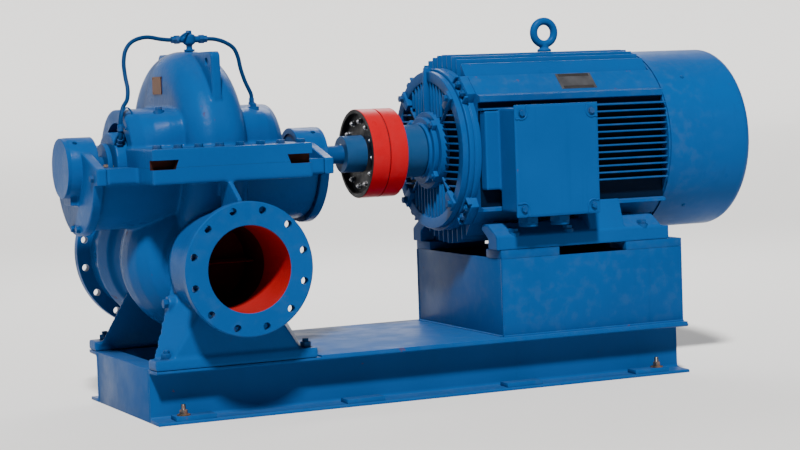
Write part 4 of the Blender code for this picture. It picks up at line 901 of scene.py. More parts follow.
def make_coupling():
    centre = (0.0, 0.0, SHAFT_Z)
    rim = COUPLING_R
    seam = SEAM_X - 0.0015
    dish = COUPLING_X0 + 0.017
    shape = bmesh.new()
    front = COUPLING_X0 + 0.0012
    profile = [(0.1345, front), (rim - 0.0012, front), (rim, front + 0.0012), (rim, seam - 0.0015),
               (rim - 0.0015, seam), (0.1345, seam)]
    add_turned(shape, "X", centre, profile, 192, closed=True)
    item = piece("coupling_rim_pump", shape)
    finish(item, RED_ENAMEL, body="rotor", replaces=("coupling_half_pump",))
    shape = bmesh.new()
    profile = [(0.0305, dish), (0.1270, dish), (0.1290, dish - 0.002), (0.1292, COUPLING_X0 + 0.0006),
               (0.1300, COUPLING_X0), (0.1398, COUPLING_X0), (0.1406, COUPLING_X0 + 0.0013),
               (0.1338, COUPLING_X0 + 0.0016), (0.1338, seam - 0.001), (0.0305, seam - 0.001)]
    add_turned(shape, "X", centre, profile, 128, closed=True)
    item = piece("coupling_dish", shape)
    finish(item, IRON, body="rotor")

    shape = bmesh.new()
    profile = [(0.0303, -0.2205), (0.0565, -0.2210), (0.0585, -0.2190), (0.0585, dish - 0.002), (0.0600, dish + 0.002),
               (0.0303, dish + 0.002)]
    add_turned(shape, "X", centre, profile, 96, closed=True)
    item = piece("pump_hub", shape)
    finish(item, HUB_PAINT, body="rotor")

    shape = bmesh.new()
    for place in circle_places("X", (dish + 0.0006, 0.0, SHAFT_Z), PIN_R, 12, 0.2):
        add_nut(shape, "-X", place, 0.0145, 0.004)
    add_box(shape, (-0.2215, -0.005, SHAFT_Z + 0.024), (-0.190, 0.005, SHAFT_Z + 0.0335))
    item = piece("coupling_pins", shape)
    finish(item, STEEL, body="rotor")

    start = SEAM_X + 0.0015
    shape = bmesh.new()
    profile = [(0.0405, start), (rim - 0.0015, start), (rim, start + 0.0015), (rim, COUPLING_X1 - 0.0015),
               (rim - 0.0015, COUPLING_X1), (0.1300, COUPLING_X1), (0.1285, COUPLING_X1 - 0.006),
               (0.0405, COUPLING_X1 - 0.006)]
    add_turned(shape, "X", centre, profile, 192, closed=True)
    item = piece("coupling_rim_motor", shape)
    finish(item, RED_ENAMEL, body="rotor", replaces=("coupling_half_motor",))
    shape = bmesh.new()
    profile = [(0.0405, COUPLING_X1 - 0.008), (0.0860, COUPLING_X1 - 0.008), (0.0850, COUPLING_X1 - 0.002),
               (0.0850, 0.0450), (0.0832, 0.0470), (0.0405, 0.0470)]
    add_turned(shape, "X", centre, profile, 128, closed=True)
    item = piece("motor_hub", shape)
    finish(item, HUB_PAINT, body="rotor")

    shape = bmesh.new()
    seam_r = COUPLING_R - 0.004
    profile = [(0.045, SEAM_X - 0.0012), (seam_r, SEAM_X - 0.0012), (seam_r + 0.0006, SEAM_X), (seam_r, SEAM_X + 0.0012),
               (0.045, SEAM_X + 0.0012)]
    add_turned(shape, "X", centre, profile, 128, closed=True)
    item = piece("coupling_seam", shape)
    finish(item, RUBBER, body="rotor", replaces=("coupling_buffer",))
    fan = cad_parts["cooling_fan"]
    fan.data.materials.clear()
    fan.data.materials.append(IRON)


# Motor

FRAME_ROOT_R = 0.250
TOP_FIN_R = 0.3055
SIDE_ROOT_Y = 0.246
SIDE_FIN_Y = 0.283
FRAME_X1 = 0.815
RING_X0 = 0.1073
RING_X1 = 0.150
SHIELD_X0 = 0.0871
SHIELD_X1 = 0.1070
COVER_R = 0.2974
COVER_X0 = 0.8219
COVER_X1 = 1.1375
BOX_NECK = (0.150, 0.470, 0.628, 0.877)
BOX_X0 = 0.197
BOX_X1 = 0.493
EYE = (0.524, 0.0, 1.122)
SIDE_FINS = 12
SIDE_PAD = ((0.172, 0.226), (0.182, 0.234), (0.240, 0.176), (0.262, 0.170), (0.261, 0.152), (0.246, 0.149))
LOWER_PAD = ((0.246, -0.180), (0.262, -0.184), (0.262, -0.193), (0.222, -0.195), (0.183, -0.234),
             (0.172, -0.226))


def fin_tip(base_low, base_high, tip_low, tip_high, rounding):
    """The six points of a fin's section, its tip rounded off."""
    return [base_low, tuple(a + (b - a) * 0.94 for a, b in zip(base_low, tip_low)),
            tuple(a + (b - a) * rounding for a, b in zip(tip_low, tip_high)),
            tuple(a + (b - a) * (1.0 - rounding) for a, b in zip(tip_low, tip_high)),
            tuple(a + (b - a) * 0.94 for a, b in zip(base_high, tip_high)), base_high]


def frame_section():
    """The finned frame's section as (y, z), once round."""
    top = []
    for index in range(9):
        y = (index - 4) * 0.034
        corners = []
        for offset, radius in ((-0.0072, FRAME_ROOT_R), (-0.0050, TOP_FIN_R), (0.0050, TOP_FIN_R), (0.0072, FRAME_ROOT_R)):
            place = y + offset / 2.0
            corners.append((place, math.sqrt(radius ** 2 - place ** 2)))
        top += fin_tip(corners[0], corners[3], corners[1], corners[2], 0.25)
    top = top[1:-1]
    side = []
    for index in range(SIDE_FINS):
        z = ((SIDE_FINS - 1) / 2.0 - index) * 0.0219 + 0.0072
        side += fin_tip((SIDE_ROOT_Y, z + 0.0036), (SIDE_ROOT_Y, z - 0.0036),
                        (SIDE_FIN_Y, z + 0.0025), (SIDE_FIN_Y, z - 0.0025), 0.25)
    pad = list(SIDE_PAD)
    lower_pad = list(LOWER_PAD)
    bottom = [(-y, -z) for y, z in top]
    ring = top + pad + side + lower_pad + bottom
    ring += [(-y, z) for y, z in reversed(lower_pad)]
    ring += [(-y, z) for y, z in reversed(side)]
    ring += [(-y, z) for y, z in reversed(pad)]
    return [(y, z + SHAFT_Z) for y, z in ring]


def turned_about_shaft(angle):
    """A turn about the shaft, for a shape drawn straight above the origin."""
    return Matrix.Translation((0.0, 0.0, SHAFT_Z)) @ Matrix.Rotation(angle, 4, "X")


def make_motor_frame():
    centre = (0.0, 0.0, SHAFT_Z)
    shape = bmesh.new()
    add_prism(shape, "X", frame_section(), RING_X1 - 0.003, FRAME_X1)
    item = piece("finned_frame", shape)
    cutter = bmesh.new()
    add_box(cutter, (RING_X1 - 0.004, -0.40, BOX_NECK[2] - GAP), (BOX_NECK[1] + GAP, -SIDE_ROOT_Y - 0.0001, BOX_NECK[3] + GAP))
    carve(item, cutter)
    soften_edges(item, 0.0012, 1, 50.0)
    finish(item, MOTOR_BLUE, replaces=("motor_frame",), angle=28.0)
    # Painted shade: the root faces between the side fins get the near-black blue.
    paint_inside(item, PAINTED_SHADE_BLUE, lambda point: (SIDE_ROOT_Y - 0.001 < abs(point.y) < SIDE_ROOT_Y + 0.002
                                                and -0.18 < point.z - SHAFT_Z < 0.148))

    shape = bmesh.new()
    profile = [(0.235, RING_X0), (0.2600, RING_X0), (0.2620, RING_X0 + 0.002), (0.2620, 0.1235), (0.2585, 0.1255),
               (0.2585, 0.1290), (0.2620, 0.1310), (0.2620, RING_X1 - 0.003), (0.2600, RING_X1), (0.235, RING_X1)]
    add_turned(shape, "X", centre, profile, 192, closed=True)
    for quarter in range(4):
        turn = turned_about_shaft(math.pi / 2.0 * quarter + math.pi / 4.0)
        move(shape, add_prism(shape, "X", [(-0.050, 0.235), (0.050, 0.235), (0.040, 0.292), (-0.040, 0.292)],
                              RING_X0 + 0.012, RING_X1 + 0.006), turn)
        for edge in (-0.0455, 0.0455):
            move(shape, add_box(shape, (RING_X0 + 0.001, edge - 0.0035, 0.250), (RING_X0 + 0.014, edge + 0.0035, 0.286)),
                 turn)
    add_rod(shape, "Z", (EYE[0], 0.0, SHAFT_Z), 0.25, 0.3055, 0.030, 0.026, sides=48)
    item = piece("frame_ring", shape)
    soften_edges(item, 0.0012, 2)
    finish(item, MOTOR_BLUE, angle=28.0)

    shape = bmesh.new()
    for corner in (45.0, 135.0, 225.0, 315.0):
        for spread in (-4.2, 4.2):
            angle = math.radians(corner + spread)
            seat = (RING_X0 + 0.0125, 0.2765 * math.cos(angle), SHAFT_Z + 0.2765 * math.sin(angle))
            add_nut(shape, "-X", seat, M16 * 0.85, 0.004, height=0.010)
    item = piece("frame_ring_bolts", shape)
    finish(item, NUT_BLUE)


def in_side_gap(point):
    """True on the recessed floor of the shield's two side sectors, which are open in the real casting; painted shade
    goes on these faces in place of the dark seen through the openings.
    """
    return point.x > 0.0965 and abs(point.y) > abs(point.z - SHAFT_Z) and 0.127 < math.hypot(point.y, point.z - SHAFT_Z) < 0.218


def make_end_shield():
    """The drive end shield: a ring with fins in four sectors, lugs and a bearing boss."""
    centre = (0.0, 0.0, SHAFT_Z)
    shape = bmesh.new()
    profile = [(0.0415, 0.1068), (0.2525, 0.1068), (0.2539, 0.1054), (0.2539, 0.0886), (0.2524, SHIELD_X0),
               (0.2235, SHIELD_X0), (0.2205, 0.0885), (0.2160, 0.1020), (0.1270, 0.1020), (0.1245, 0.0960),
               (0.1240, 0.0768), (0.1225, 0.0757), (0.0415, 0.0757)]
    add_turned(shape, "X", centre, profile, 192, closed=True)
    item = piece("end_shield", shape)
    finish(item, MOTOR_BLUE, replaces=("end_shield_drive",), angle=28.0)
    # Painted shade on the floor of the open side sectors.
    paint_inside(item, PAINTED_SHADE_BLUE, in_side_gap)

    shape = bmesh.new()
    for quarter in range(4):
        turn = turned_about_shaft(math.pi / 2.0 * quarter)
        for index in range(-5, 6):
            if quarter == 0 and index == 0:
                continue
            y = index * 0.0225
            low = max(math.sqrt(max(0.1262 ** 2 - y * y, 0.0)), abs(y) * 1.18 + 0.004)
            high = math.sqrt(0.2205 ** 2 - y * y)
            made = add_box(shape, (0.0890, y - 0.0028, low - 0.003), (0.1035, y + 0.0028, high))
            move(shape, made, turn)
        if quarter == 0:
            made = add_prism(shape, "Y", [(0.1035, 0.118), (0.0768, 0.118), (0.0755, 0.200), (0.0800, 0.2655),
                                          (0.1060, 0.2655), (0.1060, 0.2545), (0.1035, 0.2545)], -0.0052, 0.0052)
            move(shape, made, turn)
        corner = turned_about_shaft(math.pi / 2.0 * quarter + math.pi / 4.0)
        made = add_prism(shape, "X", [(-0.0130, 0.192), (0.0130, 0.192), (0.0190, 0.2510), (-0.0190, 0.2510)],
                         0.0785, 0.1035)
        move(shape, made, corner)
        made = add_box(shape, (0.0895, -0.0035, 0.122), (0.1035, 0.0035, 0.200))
        move(shape, made, corner)
    item = piece("end_shield_fins", shape)
    soften_edges(item, 0.0011, 2)
    finish(item, MOTOR_BLUE, angle=28.0)

    shape = bmesh.new()
    profile = [(0.0410, 0.0754), (0.1050, 0.0754), (0.1070, 0.0738), (0.1070, 0.0610), (0.1052, 0.0590), (0.0900, 0.0590),
               (0.0880, 0.0570), (0.0870, 0.0520), (0.0850, 0.0505), (0.0560, 0.0505), (0.0410, 0.0505)]
    add_turned(shape, "X", centre, profile, 160, closed=True)
    for quarter in range(4):
        corner = turned_about_shaft(math.pi / 2.0 * quarter + math.pi / 4.0)
        made = add_prism(shape, "X", [(-0.016, 0.098), (0.016, 0.098), (0.0115, 0.1265), (-0.0115, 0.1265)], 0.0610, 0.0754)
        move(shape, made, corner)
    item = piece("bearing_cap", shape)
    soften_edges(item, 0.0010, 2, 50.0)
    finish(item, MOTOR_BLUE, replaces=("motor_bearing_cap",), angle=28.0)

    shape = bmesh.new()
    for place in circle_places("X", (0.0614, 0.0, SHAFT_Z), 0.1150, 4, 0.5):
        add_nut(shape, "-X", place, 0.0155, 0.0, washer=False, height=0.0085)
    for place in circle_places("X", (0.0789, 0.0, SHAFT_Z), 0.2360, 4, 0.5):
        add_nut(shape, "-X", place, M12 * 1.05, 0.0, height=0.0105)
    item = piece("end_shield_bolts", shape)
    finish(item, NUT_BLUE)


def make_motor_feet():
    """Two foot rails with a sloped upper side, and one broad web under the middle of the frame."""
    shape = bmesh.new()
    inner = 0.1824
    for side in (-1.0, 1.0):
        rail = [(0.248, PAD_TOP_Z + 0.0006), (0.3105, PAD_TOP_Z + 0.0006), (0.3105, 0.4815), (0.246, 0.4815)]
        add_prism(shape, "X", [(side * y, z) for y, z in rail], 0.1664, 0.7946)
        slope = [(0.200, 0.502), (0.246, 0.474), (0.3055, 0.474), (0.3055, 0.4855), (0.250, 0.5180), (0.211, 0.5180)]
        add_prism(shape, "X", [(side * y, z) for y, z in slope], 0.1666, 0.768)
        rib = [(inner, PAD_TOP_Z + 0.0006), (0.256, PAD_TOP_Z + 0.0006), (0.256, 0.490), (0.220, 0.5175), (inner, 0.5175)]
        add_prism(shape, "X", [(side * y, z) for y, z in rib], 0.215, 0.740)
        web = [(0.3055, 0.470), (0.3055, 0.4855), (0.2755, 0.5765), (0.2630, 0.5765), (0.2630, 0.5595), (0.2228, 0.5575),
               (0.1836, 0.5185), (0.1836, 0.470)]
        add_prism(shape, "X", [(side * y, z) for y, z in web], 0.505, 0.632)
    item = piece("motor_feet", shape)
    cast(item, 0.0030, 2)
    finish(item, MOTOR_BLUE, replaces=("motor_foot_near", "motor_foot_far"))
    shape = bmesh.new()
    for side in (-1.0, 1.0):
        for x in (0.236, 0.430, 0.704):
            add_turned(shape, "Z", (x, side * 0.2900, 0.0), [(0.0, 0.478), (0.0215, 0.478), (0.0205, 0.4905), (0.0, 0.4905)], 32)
            add_nut(shape, "Z", (x, side * 0.2900, 0.4900), M20, 0.0, height=0.0125)
    item = piece("motor_foot_bolts", shape)
    finish(item, NUT_BLUE)


def make_fan_cover():
    centre = (0.0, 0.0, SHAFT_Z)
    shape = bmesh.new()
    outer = [(COVER_R, COVER_X0), (COVER_R, COVER_X1 - 0.034)]
    for step in range(1, 13):
        angle = math.pi / 2.0 * step / 12.0
        outer.append((COVER_R - 0.034 + 0.034 * math.cos(angle), COVER_X1 - 0.034 + 0.034 * math.sin(angle)))
    outer += [(0.204, COVER_X1), (0.2005, COVER_X1 - 0.001)]
    inner = [(0.2005, COVER_X1 - 0.004)]
    for step in range(12, 0, -1):
        angle = math.pi / 2.0 * step / 12.0
        inner.append((COVER_R - 0.034 + 0.030 * math.cos(angle), COVER_X1 - 0.034 + 0.030 * math.sin(angle)))
    inner += [(COVER_R - 0.004, COVER_X1 - 0.034), (COVER_R - 0.004, COVER_X0)]
    add_turned(shape, "X", centre, outer + inner, 256, closed=True)
    item = piece("fan_cowl", shape)
    finish(item, SHEET_BLUE, replaces=("fan_cover",))

    shape = bmesh.new()
    level = COVER_X1 - 0.0035
    for index in range(12):
        radius = 0.024 + 0.0160 * index
        ring = [(radius + 0.0022 * math.cos(turn), level + 0.0022 * math.sin(turn))
                for turn in (2.0 * math.pi * step / 8.0 for step in range(8))]
        add_turned(shape, "X", centre, ring, 96, closed=True)
    for index in range(6):
        turn = Matrix.Translation((0.0, 0.0, SHAFT_Z)) @ Matrix.Rotation(2.0 * math.pi * index / 6.0, 4, "X")
        move(shape, add_box(shape, (level - 0.0024, -0.0035, 0.020), (level + 0.0004, 0.0035, 0.2020)), turn)
    add_rod(shape, "X", centre, level - 0.002, level + 0.0030, 0.030, chamfer=0.001)
    item = piece("fan_guard", shape)
    finish(item, SHEET_BLUE, replaces=("fan_grille",))

    shape = bmesh.new()
    for degrees in (-46.0, -137.0, 46.0, 137.0):
        angle = math.radians(degrees)
        made = add_turned(shape, "Z", (0.0, 0.0, 0.0), [(0.0, -0.001), (0.0068, -0.001), (0.0064, 0.002), (0.0045, 0.0035),
                          (0.0, 0.0037)], 18)
        turn = (Matrix.Translation((0.920, 0.0, SHAFT_Z)) @ Matrix.Rotation(angle, 4, "X")
                @ Matrix.Translation((0.0, 0.0, COVER_R)))
        move(shape, made, turn)
    item = piece("cowl_screws", shape)
    finish(item, NUT_BLUE)
    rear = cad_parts["end_shield_rear"]
    rear.data.materials.clear()
    rear.data.materials.append(MOTOR_BLUE)


def make_terminal_box():
    shape = bmesh.new()
    add_box(shape, (BOX_NECK[0] + 0.001, -0.285, BOX_NECK[2] + 0.001), (BOX_NECK[1] - 0.001, -0.2464, BOX_NECK[3] - 0.001))
    add_box(shape, (BOX_X0 + 0.004, -0.3855, 0.5605), (BOX_X1 - 0.004, -0.282, 0.8835))
    item = piece("terminal_housing", shape)
    cast(item, 0.0034, 3)
    finish(item, MOTOR_BLUE, replaces=("terminal_box",))

    shape = bmesh.new()
    low_z = 0.543
    high_z = 0.893
    add_box(shape, (BOX_X0, -0.3945, low_z), (BOX_X1, -0.3866, high_z))
    add_box(shape, (BOX_X0 + 0.006, -0.3960, low_z + 0.006), (BOX_X1 - 0.006, -0.3930, high_z - 0.006))
    item = piece("terminal_lid", shape)
    cast(item, 0.0024, 2)
    finish(item, MOTOR_BLUE, replaces=("terminal_box_cover",))

    shape = bmesh.new()
    corners = bmesh.new()
    for x, side in ((BOX_X0 + 0.024, 1.0), (BOX_X1 - 0.024, -1.0)):
        for z, up in ((low_z + 0.026, 1.0), (high_z - 0.026, -1.0)):
            curl = []
            for step in range(15):
                angle = math.radians(-28.0 + 146.0 * step / 14.0)
                curl.append((x + side * 0.0190 * math.cos(angle), -0.3960, z + up * 0.0190 * math.sin(angle)))
            curl.insert(0, (x + side * 0.0180, -0.3960, z - up * 0.022))
            curl.append((x - side * 0.021, -0.3960, z + up * 0.0175))
            add_tube(corners, curl, 0.0030, 12)
            add_turned(shape, "-Y", (x, 0.0, z), [(0.0, 0.3940), (0.0115, 0.3940), (0.0115, 0.3975), (0.0, 0.3975)], 32)
            add_nut(shape, "-Y", (x, -0.3980, z), 0.0170, 0.0, washer=False, height=0.0070)
    item = piece("lid_corners", corners)
    finish(item, MOTOR_BLUE)
    item = piece("lid_bolts", shape)
    finish(item, NUT_BLUE)

    for x, name in ((0.262, "left"), (0.375, "right")):
        shape = bmesh.new()
        profile = [(0.0, 0.5130), (0.0200, 0.5130), (0.0205, 0.5115), (0.0285, 0.5115), (0.0300, 0.5130), (0.0300, 0.5230),
                   (0.0310, 0.5240), (0.0, 0.5240)]
        add_turned(shape, "Z", (x, -0.343, 0.0), profile, 48)
        add_rod(shape, "Z", (x, -0.343, 0.0), 0.5235, 0.5420, 0.0350, sides=6, chamfer=0.0015)
        add_rod(shape, "Z", (x, -0.343, 0.0), 0.5415, 0.5500, 0.0245, sides=48)
        add_rod(shape, "Z", (x, -0.343, 0.0), 0.5495, 0.5600, 0.0320, sides=6, chamfer=0.0015)
        item = piece("cable_entry_" + name, shape)
        finish(item, NUT_BLUE, replaces=("cable_gland_" + name,))


def make_eyebolt():
    shape = bmesh.new()
    seat = SHAFT_Z + TOP_FIN_R + 0.0006
    profile = [(0.0, seat), (0.0235, seat), (0.0235, seat + 0.006), (0.0205, seat + 0.009), (0.0150, seat + 0.012),
               (0.0150, 1.088), (0.0, 1.088)]
    add_turned(shape, "Z", (EYE[0], 0.0, 0.0), profile, 48)
    ring = []
    for index in range(16):
        turn = 2.0 * math.pi * index / 16.0
        ring.append((0.0378 + 0.0130 * math.cos(turn), 0.0130 * math.sin(turn)))
    add_turned(shape, "Y", EYE, ring, 96, closed=True)
    item = piece("lifting_eye", shape)
    cast(item, 0.0020, 5)
    finish(item, MOTOR_BLUE, replaces=("eyebolt",))


# Base frame and pedestal

BASE_X0 = -0.9725
BASE_X1 = 0.840
WEB_Y = 0.266
TIP_Y = 0.3415
WEB = 0.008
CHANNEL_FLANGE = 0.011
ANCHOR_X = (-0.855, -0.310, 0.237, 0.702)
DECK_X0 = -0.452
PEDESTAL_X0 = 0.1794
PEDESTAL_Y = 0.312


def channel_section(inner, tip, height=BASE_HEIGHT):
    """A rolled channel's section: back at inner, flanges out to tip, with round roots and toes."""
    side = 1.0 if tip > inner else -1.0
    web = inner + side * WEB
    root = 0.010
    points = [(inner, 0.0), (tip, 0.0), (tip, CHANNEL_FLANGE - 0.005), (tip - side * 0.004, CHANNEL_FLANGE - 0.0015)]
    for step in range(5):
        angle = math.pi / 2.0 * step / 4.0
        points.append((web + side * root * (1.0 - math.sin(angle)), CHANNEL_FLANGE + root * (1.0 - math.cos(angle))))
    points += [(a, height - b) for a, b in reversed(points)]
    return points


def make_base_channels():
    for side, name in ((-1.0, "near"), (1.0, "far")):
        shape = bmesh.new()
        section = channel_section(side * (WEB_Y - WEB), side * (TIP_Y - 0.0002))
        add_prism(shape, "X", section, BASE_X0, BASE_X1)
        item = piece("side_channel_" + name, shape)
        cutter = bmesh.new()
        for x in (ANCHOR_X[0] - 0.03125, ANCHOR_X[-1] + 0.03125):
            add_rod(cutter, "Z", (x, side * 0.3115, 0.0), -0.01, 0.05, 0.009, sides=32)
        carve(item, cutter)
        soften_edges(item, 0.0010, 2)
        finish(item, PLATE_BLUE, replaces=("base_channel_" + name,))
    shape = bmesh.new()
    for side in (-1.0, 1.0):
        for x in ANCHOR_X:
            low_y, high_y = sorted((side * (TIP_Y - 0.056), side * (TIP_Y - 0.004)))
            add_box(shape, (x - 0.0625, low_y, CHANNEL_FLANGE - 0.001), (x + 0.0625, high_y, CHANNEL_FLANGE + 0.012))
    item = piece("anchor_pads", shape)
    cutter = bmesh.new()
    for side in (-1.0, 1.0):
        for x in (ANCHOR_X[0] - 0.03125, ANCHOR_X[-1] + 0.03125):
            add_rod(cutter, "Z", (x, side * 0.3115, 0.0), -0.01, 0.05, 0.009, sides=32)
    carve(item, cutter)
    soften_edges(item, 0.0012, 2)
    finish(item, PLATE_BLUE)
    shape = bmesh.new()
    for side in (-1.0, 1.0):
        for x in (ANCHOR_X[0] - 0.03125, ANCHOR_X[-1] + 0.03125):
            add_turned(shape, "Z", (x, side * 0.3115, 0.0), [(0.0, 0.0228), (0.0205, 0.0228), (0.0205, 0.0262), (0.0, 0.0262)], 40)
            add_rod(shape, "Z", (x, side * 0.3115, 0.0), 0.0004, 0.030, 0.0080, sides=24)
    item = piece("foundation_washers", shape)
    finish(item, BRASS)
    shape = bmesh.new()
    for side in (-1.0, 1.0):
        for x in (ANCHOR_X[0] - 0.03125, ANCHOR_X[-1] + 0.03125):
            add_nut(shape, "Z", (x, side * 0.3115, 0.0260), M16 * 0.9, 0.016)
    item = piece("foundation_nuts", shape)
    finish(item, BOLT_STEEL)


def make_cross_channels():
    half = WEB_Y - WEB - GAP
    rows = (("left", "base_end_left", BASE_X0, 1.0), ("right", "base_end_right", BASE_X1, -1.0),
            ("deck", "base_cross_left", DECK_X0, 1.0), ("middle", "base_cross_middle", PEDESTAL_X0, 1.0))
    for name, node, x, side in rows:
        shape = bmesh.new()
        add_prism(shape, "Y", channel_section(x, x + side * 0.068), -half, half)
        item = piece("cross_channel_" + name, shape)
        soften_edges(item, 0.0010, 2)
        finish(item, PLATE_BLUE, replaces=(node,))


def make_plates():
    """The deck plate and the welded pedestal with its machined pads."""
    shape = bmesh.new()
    add_box(shape, (DECK_X0, -TIP_Y + 0.003, BASE_HEIGHT + GAP), (BASE_X1, TIP_Y - 0.003, DECK_Z))
    item = piece("deck", shape)
    soften_edges(item, 0.0012, 2)
    finish(item, DECK_PAINT, replaces=("deck_plate",))

    top = PAD_TOP_Z - 0.027
    shape = bmesh.new()
    for side in (-1.0, 1.0):
        low_y, high_y = sorted((side * PEDESTAL_Y, side * (PEDESTAL_Y - 0.010)))
        add_box(shape, (PEDESTAL_X0, low_y, DECK_Z + GAP), (BASE_X1, high_y, top - GAP))
    half = PEDESTAL_Y - 0.0103
    for x in (PEDESTAL_X0, BASE_X1 - 0.010):
        add_box(shape, (x, -half, DECK_Z + GAP), (x + 0.010, half, top - GAP))
    item = piece("pedestal_plates", shape)
    soften_edges(item, 0.0012, 2)
    finish(item, PLATE_BLUE,
           replaces=("pedestal_side_near", "pedestal_side_far", "pedestal_end_left", "pedestal_end_right"))

    shape = bmesh.new()
    nodes = []
    for side, name in ((-1.0, "near"), (1.0, "far")):
        for end, low_x in (("left", PEDESTAL_X0), ("right", BASE_X1 - 0.208)):
            low_y, high_y = sorted((side * PEDESTAL_Y, side * (PEDESTAL_Y - 0.105)))
            add_box(shape, (low_x, low_y, top), (low_x + 0.208, high_y, PAD_TOP_Z))
            nodes.append("pedestal_pad_%s_%s" % (name, end))
    item = piece("pedestal_pads", shape)
    soften_edges(item, 0.0015, 2)
    finish(item, PLATE_BLUE, replaces=nodes)


def add_bead(shape, start, end, radius=0.0038, ripple=0.0085):
    """A weld bead: a rippled ridge from one point to another."""
    start = Vector(start)
    end = Vector(end)
    count = max(int((end - start).length / ripple * 3.0), 6)
    route = [start.lerp(end, index / count) for index in range(count + 1)]
    sizes = [radius * (0.84 + 0.26 * abs(math.sin(index * math.pi / 3.0 + 0.4 * math.sin(index * 0.7))))
             for index in range(count + 1)]
    add_tube(shape, route, sizes, 8)


def make_welds():
    shape = bmesh.new()
    deck = DECK_Z
    for side in (-1.0, 1.0):
        y = side * (PEDESTAL_Y + 0.0008)
        add_bead(shape, (PEDESTAL_X0, y, deck + 0.001), (BASE_X1 - 0.001, y, deck + 0.001))
        add_bead(shape, (DECK_X0, side * (TIP_Y - 0.0035), BASE_HEIGHT - 0.0005), (BASE_X1 - 0.002, side * (TIP_Y - 0.0035), BASE_HEIGHT - 0.0005), 0.0022)
        for x in (BASE_X0 + 0.0016, BASE_X1 - 0.0016):
            add_bead(shape, (x, side * (WEB_Y - WEB - 0.001), 0.003), (x, side * (WEB_Y - WEB - 0.001), 0.157), 0.0034)
        for x in (PEDESTAL_X0 + 0.001, BASE_X1 - 0.004):
            add_bead(shape, (x, side * (PEDESTAL_Y - 0.0010), deck + 0.003), (x, side * (PEDESTAL_Y - 0.0010), 0.409), 0.0026)
    add_bead(shape, (PEDESTAL_X0 - 0.0006, -PEDESTAL_Y + 0.004, deck + 0.001), (PEDESTAL_X0 - 0.0006, PEDESTAL_Y - 0.004, deck + 0.001))
    add_bead(shape, (DECK_X0 + 0.0008, -WEB_Y + 0.006, BASE_HEIGHT + 0.0012), (DECK_X0 + 0.0008, WEB_Y - 0.006, BASE_HEIGHT + 0.0012), 0.0026)
    item = piece("weld_beads", shape)
    finish(item, PLATE_BLUE, angle=60.0)


# Bare plates

def make_casing_plate():
    """The bare copper-coloured plate on the flat left side of the round middle."""
    face = PUMP_X - VOLUTE_HALF
    shape = bmesh.new()
    add_box(shape, (face - 0.0024, -0.029, 0.965), (face + 0.004, 0.054, 1.0185))
    item = piece("casing_bare_plate", shape)
    finish(item, COPPER_PLATE)
    shape = bmesh.new()
    for y in (-0.024, 0.049):
        for z in (0.970, 1.0135):
            add_rod(shape, "-X", (face - 0.0020, y, z), 0.0, 0.0018, 0.0022, sides=12)
    item = piece("casing_plate_pins", shape)
    finish(item, BOLT_STEEL)


def make_motor_plate():
    """The bare plate on the slanted pad of the motor, light with two dark bands."""
    outer = Vector((0.0, -0.182, 0.234))
    inner = Vector((0.0, -0.240, 0.176))
    run = (inner - outer).normalized()
    normal = Vector((0.0, run.z, -run.y))
    if normal.z < 0.0:
        normal = -normal
    base = Vector((0.0, 0.0, SHAFT_Z)) + outer + run * 0.005
    place = Matrix(((1.0, 0.0, 0.0, 0.5225), (0.0, run.y, normal.y, base.y), (0.0, run.z, normal.z, base.z),
                    (0.0, 0.0, 0.0, 1.0)))
    half = 0.0645
    long = 0.0680
    shape = bmesh.new()
    made = add_box(shape, (-half, 0.0, -0.001), (half, long, 0.0012))
    for x in (-half + 0.004, half - 0.004):
        for y in (0.004, long - 0.004):
            made += add_rod(shape, "Z", (x, y, 0.0), 0.0, 0.0026, 0.0026, sides=12)
    move(shape, made, place)
    item = piece("motor_bare_plate", shape)
    finish(item, SILVER_PLATE)
    shape = bmesh.new()
    made = add_box(shape, (-half + 0.009, 0.0015, 0.0), (half - 0.009, 0.0130, 0.0014))
    made += add_box(shape, (-half + 0.009, long - 0.0130, 0.0), (half - 0.009, long - 0.0015, 0.0014))
    move(shape, made, place)
    item = piece("motor_plate_bands", shape)
    finish(item, IRON)


# Floor, light and camera

def plain(name, colour, rough):
    material = bpy.data.materials.new(name)
    material.use_nodes = True
    shader = material.node_tree.nodes["Principled BSDF"]
    shader.inputs["Base Color"].default_value = tuple(colour) + (1.0,)
    shader.inputs["Roughness"].default_value = rough
    shader.inputs["Specular IOR Level"].default_value = 0.2
    return material


def make_stage():
    """A pale floor that curves up into a pale backdrop."""
    shape = bmesh.new()
    reach = 60.0
    back = 24.0
    bend = 6.0
    outline = [(-reach, 0.0), (back, 0.0)]
    for step in range(1, 13):
        angle = math.pi / 2.0 * step / 12.0
        outline.append((back + bend * math.sin(angle), bend * (1.0 - math.cos(angle))))
    outline.append((back + bend, 34.0))
    rows = [[shape.verts.new((x, y, z)) for x in (-reach, reach)] for y, z in outline]
    for first, second in zip(rows, rows[1:]):
        shape.faces.new((first[0], first[1], second[1], second[0]))
    floor = piece("studio_floor", shape)
    floor.data.shade_smooth()
    floor.data.materials.append(plain("pale_floor", (0.66, 0.66, 0.655), 0.85))


KEY_DIRECTION = Vector((-0.46, -1.0, 1.25)).normalized()
KEY_SOFTNESS = 6.0


def make_light(name, place, target, size, power, colour=(1.0, 1.0, 1.0)):
    if size:
        data = bpy.data.lights.new(name, "AREA")
        data.shape = "RECTANGLE"
        data.size, data.size_y = size
    else:
        data = bpy.data.lights.new(name, "SUN")
        data.angle = math.radians(KEY_SOFTNESS)
    data.energy = power
    data.color = colour
    lamp = bpy.data.objects.new(name, data)
    lamp.location = place
    lamp.rotation_euler = (Vector(target) - Vector(place)).to_track_quat("-Z", "Y").to_euler()
    bpy.context.scene.collection.objects.link(lamp)




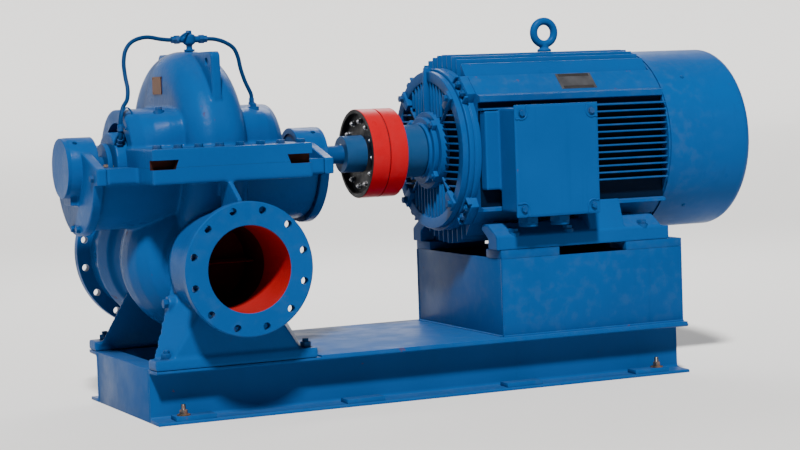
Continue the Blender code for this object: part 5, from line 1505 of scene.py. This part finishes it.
def make_lights():
    """A key from the front left above, with a broad fill, a rim and a soft sky."""
    world = bpy.data.worlds.new("studio")
    world.use_nodes = True
    background = world.node_tree.nodes["Background"]
    background.inputs["Color"].default_value = (0.95, 0.92, 1.0, 1.0)
    background.inputs["Strength"].default_value = 0.13
    bpy.context.scene.world = world
    middle = Vector((-0.1, 0.0, 0.55))
    make_light("key", middle + KEY_DIRECTION * 7.0, middle, None, 7.6, (1.0, 0.98, 0.95))
    make_light("fill", (3.8, -4.6, 2.2), middle, (2.8, 2.2), 8.0)
    make_light("rim", (2.2, 4.0, 3.8), middle, (2.4, 1.6), 120.0)
    make_light("side", (-5.0, 0.4, 2.0), middle, (2.0, 2.2), 8.0)


CAMERA_PLACE = Vector((-2.911, -6.302, 0.9847))
CAMERA_YAW = math.radians(24.62)
CAMERA_PITCH = math.radians(-3.86)
CAMERA_ROLL = math.radians(-2.03)
CAMERA_LENS = 97.06
SENSOR_WIDTH = 36.0


def make_camera():
    ahead = Vector((math.sin(CAMERA_YAW) * math.cos(CAMERA_PITCH), math.cos(CAMERA_YAW) * math.cos(CAMERA_PITCH),
                    math.sin(CAMERA_PITCH)))
    level = Vector((math.cos(CAMERA_YAW), -math.sin(CAMERA_YAW), 0.0))
    above = level.cross(ahead)
    right = math.cos(CAMERA_ROLL) * level + math.sin(CAMERA_ROLL) * above
    up = -math.sin(CAMERA_ROLL) * level + math.cos(CAMERA_ROLL) * above
    data = bpy.data.cameras.new("photo_view")
    data.sensor_width = SENSOR_WIDTH
    data.lens = CAMERA_LENS
    camera = bpy.data.objects.new("photo_view", data)
    camera.matrix_world = Matrix((right, up, -ahead)).transposed().to_4x4()
    camera.location = CAMERA_PLACE
    bpy.context.scene.collection.objects.link(camera)
    bpy.context.scene.camera = camera


# The whole set

make_camera()
make_lights()
make_stage()

make_upper_casing()
make_lower_casing()
make_splitter()
make_nozzle_flange("discharge_flange", "-Y", DISCHARGE_Z, DISCHARGE_BORE, 0.166, 0.1975, 0.029, 0.175, 12,
                   "discharge_branch")
make_nozzle_flange("suction_flange", "Y", SUCTION_Z, SUCTION_BORE, 0.207, 0.2525, 0.034, 0.230, 16,
                   "suction_branch")
make_casing_studs()
make_split_line()
for end, end_name in ((-1.0, "left"), (1.0, "right")):
    make_bearing(end, end_name)
    make_gland(end, end_name)
make_cock()
make_seal_pipe("left", LEFT_PIPE)
make_seal_pipe("right", RIGHT_PIPE)
make_pipe_ends()
make_casing_plate()

make_shafts()
make_coupling()

make_motor_frame()
make_end_shield()
make_motor_feet()
make_fan_cover()
make_terminal_box()
make_eyebolt()
make_motor_plate()

make_base_channels()
make_cross_channels()
make_plates()
make_welds()
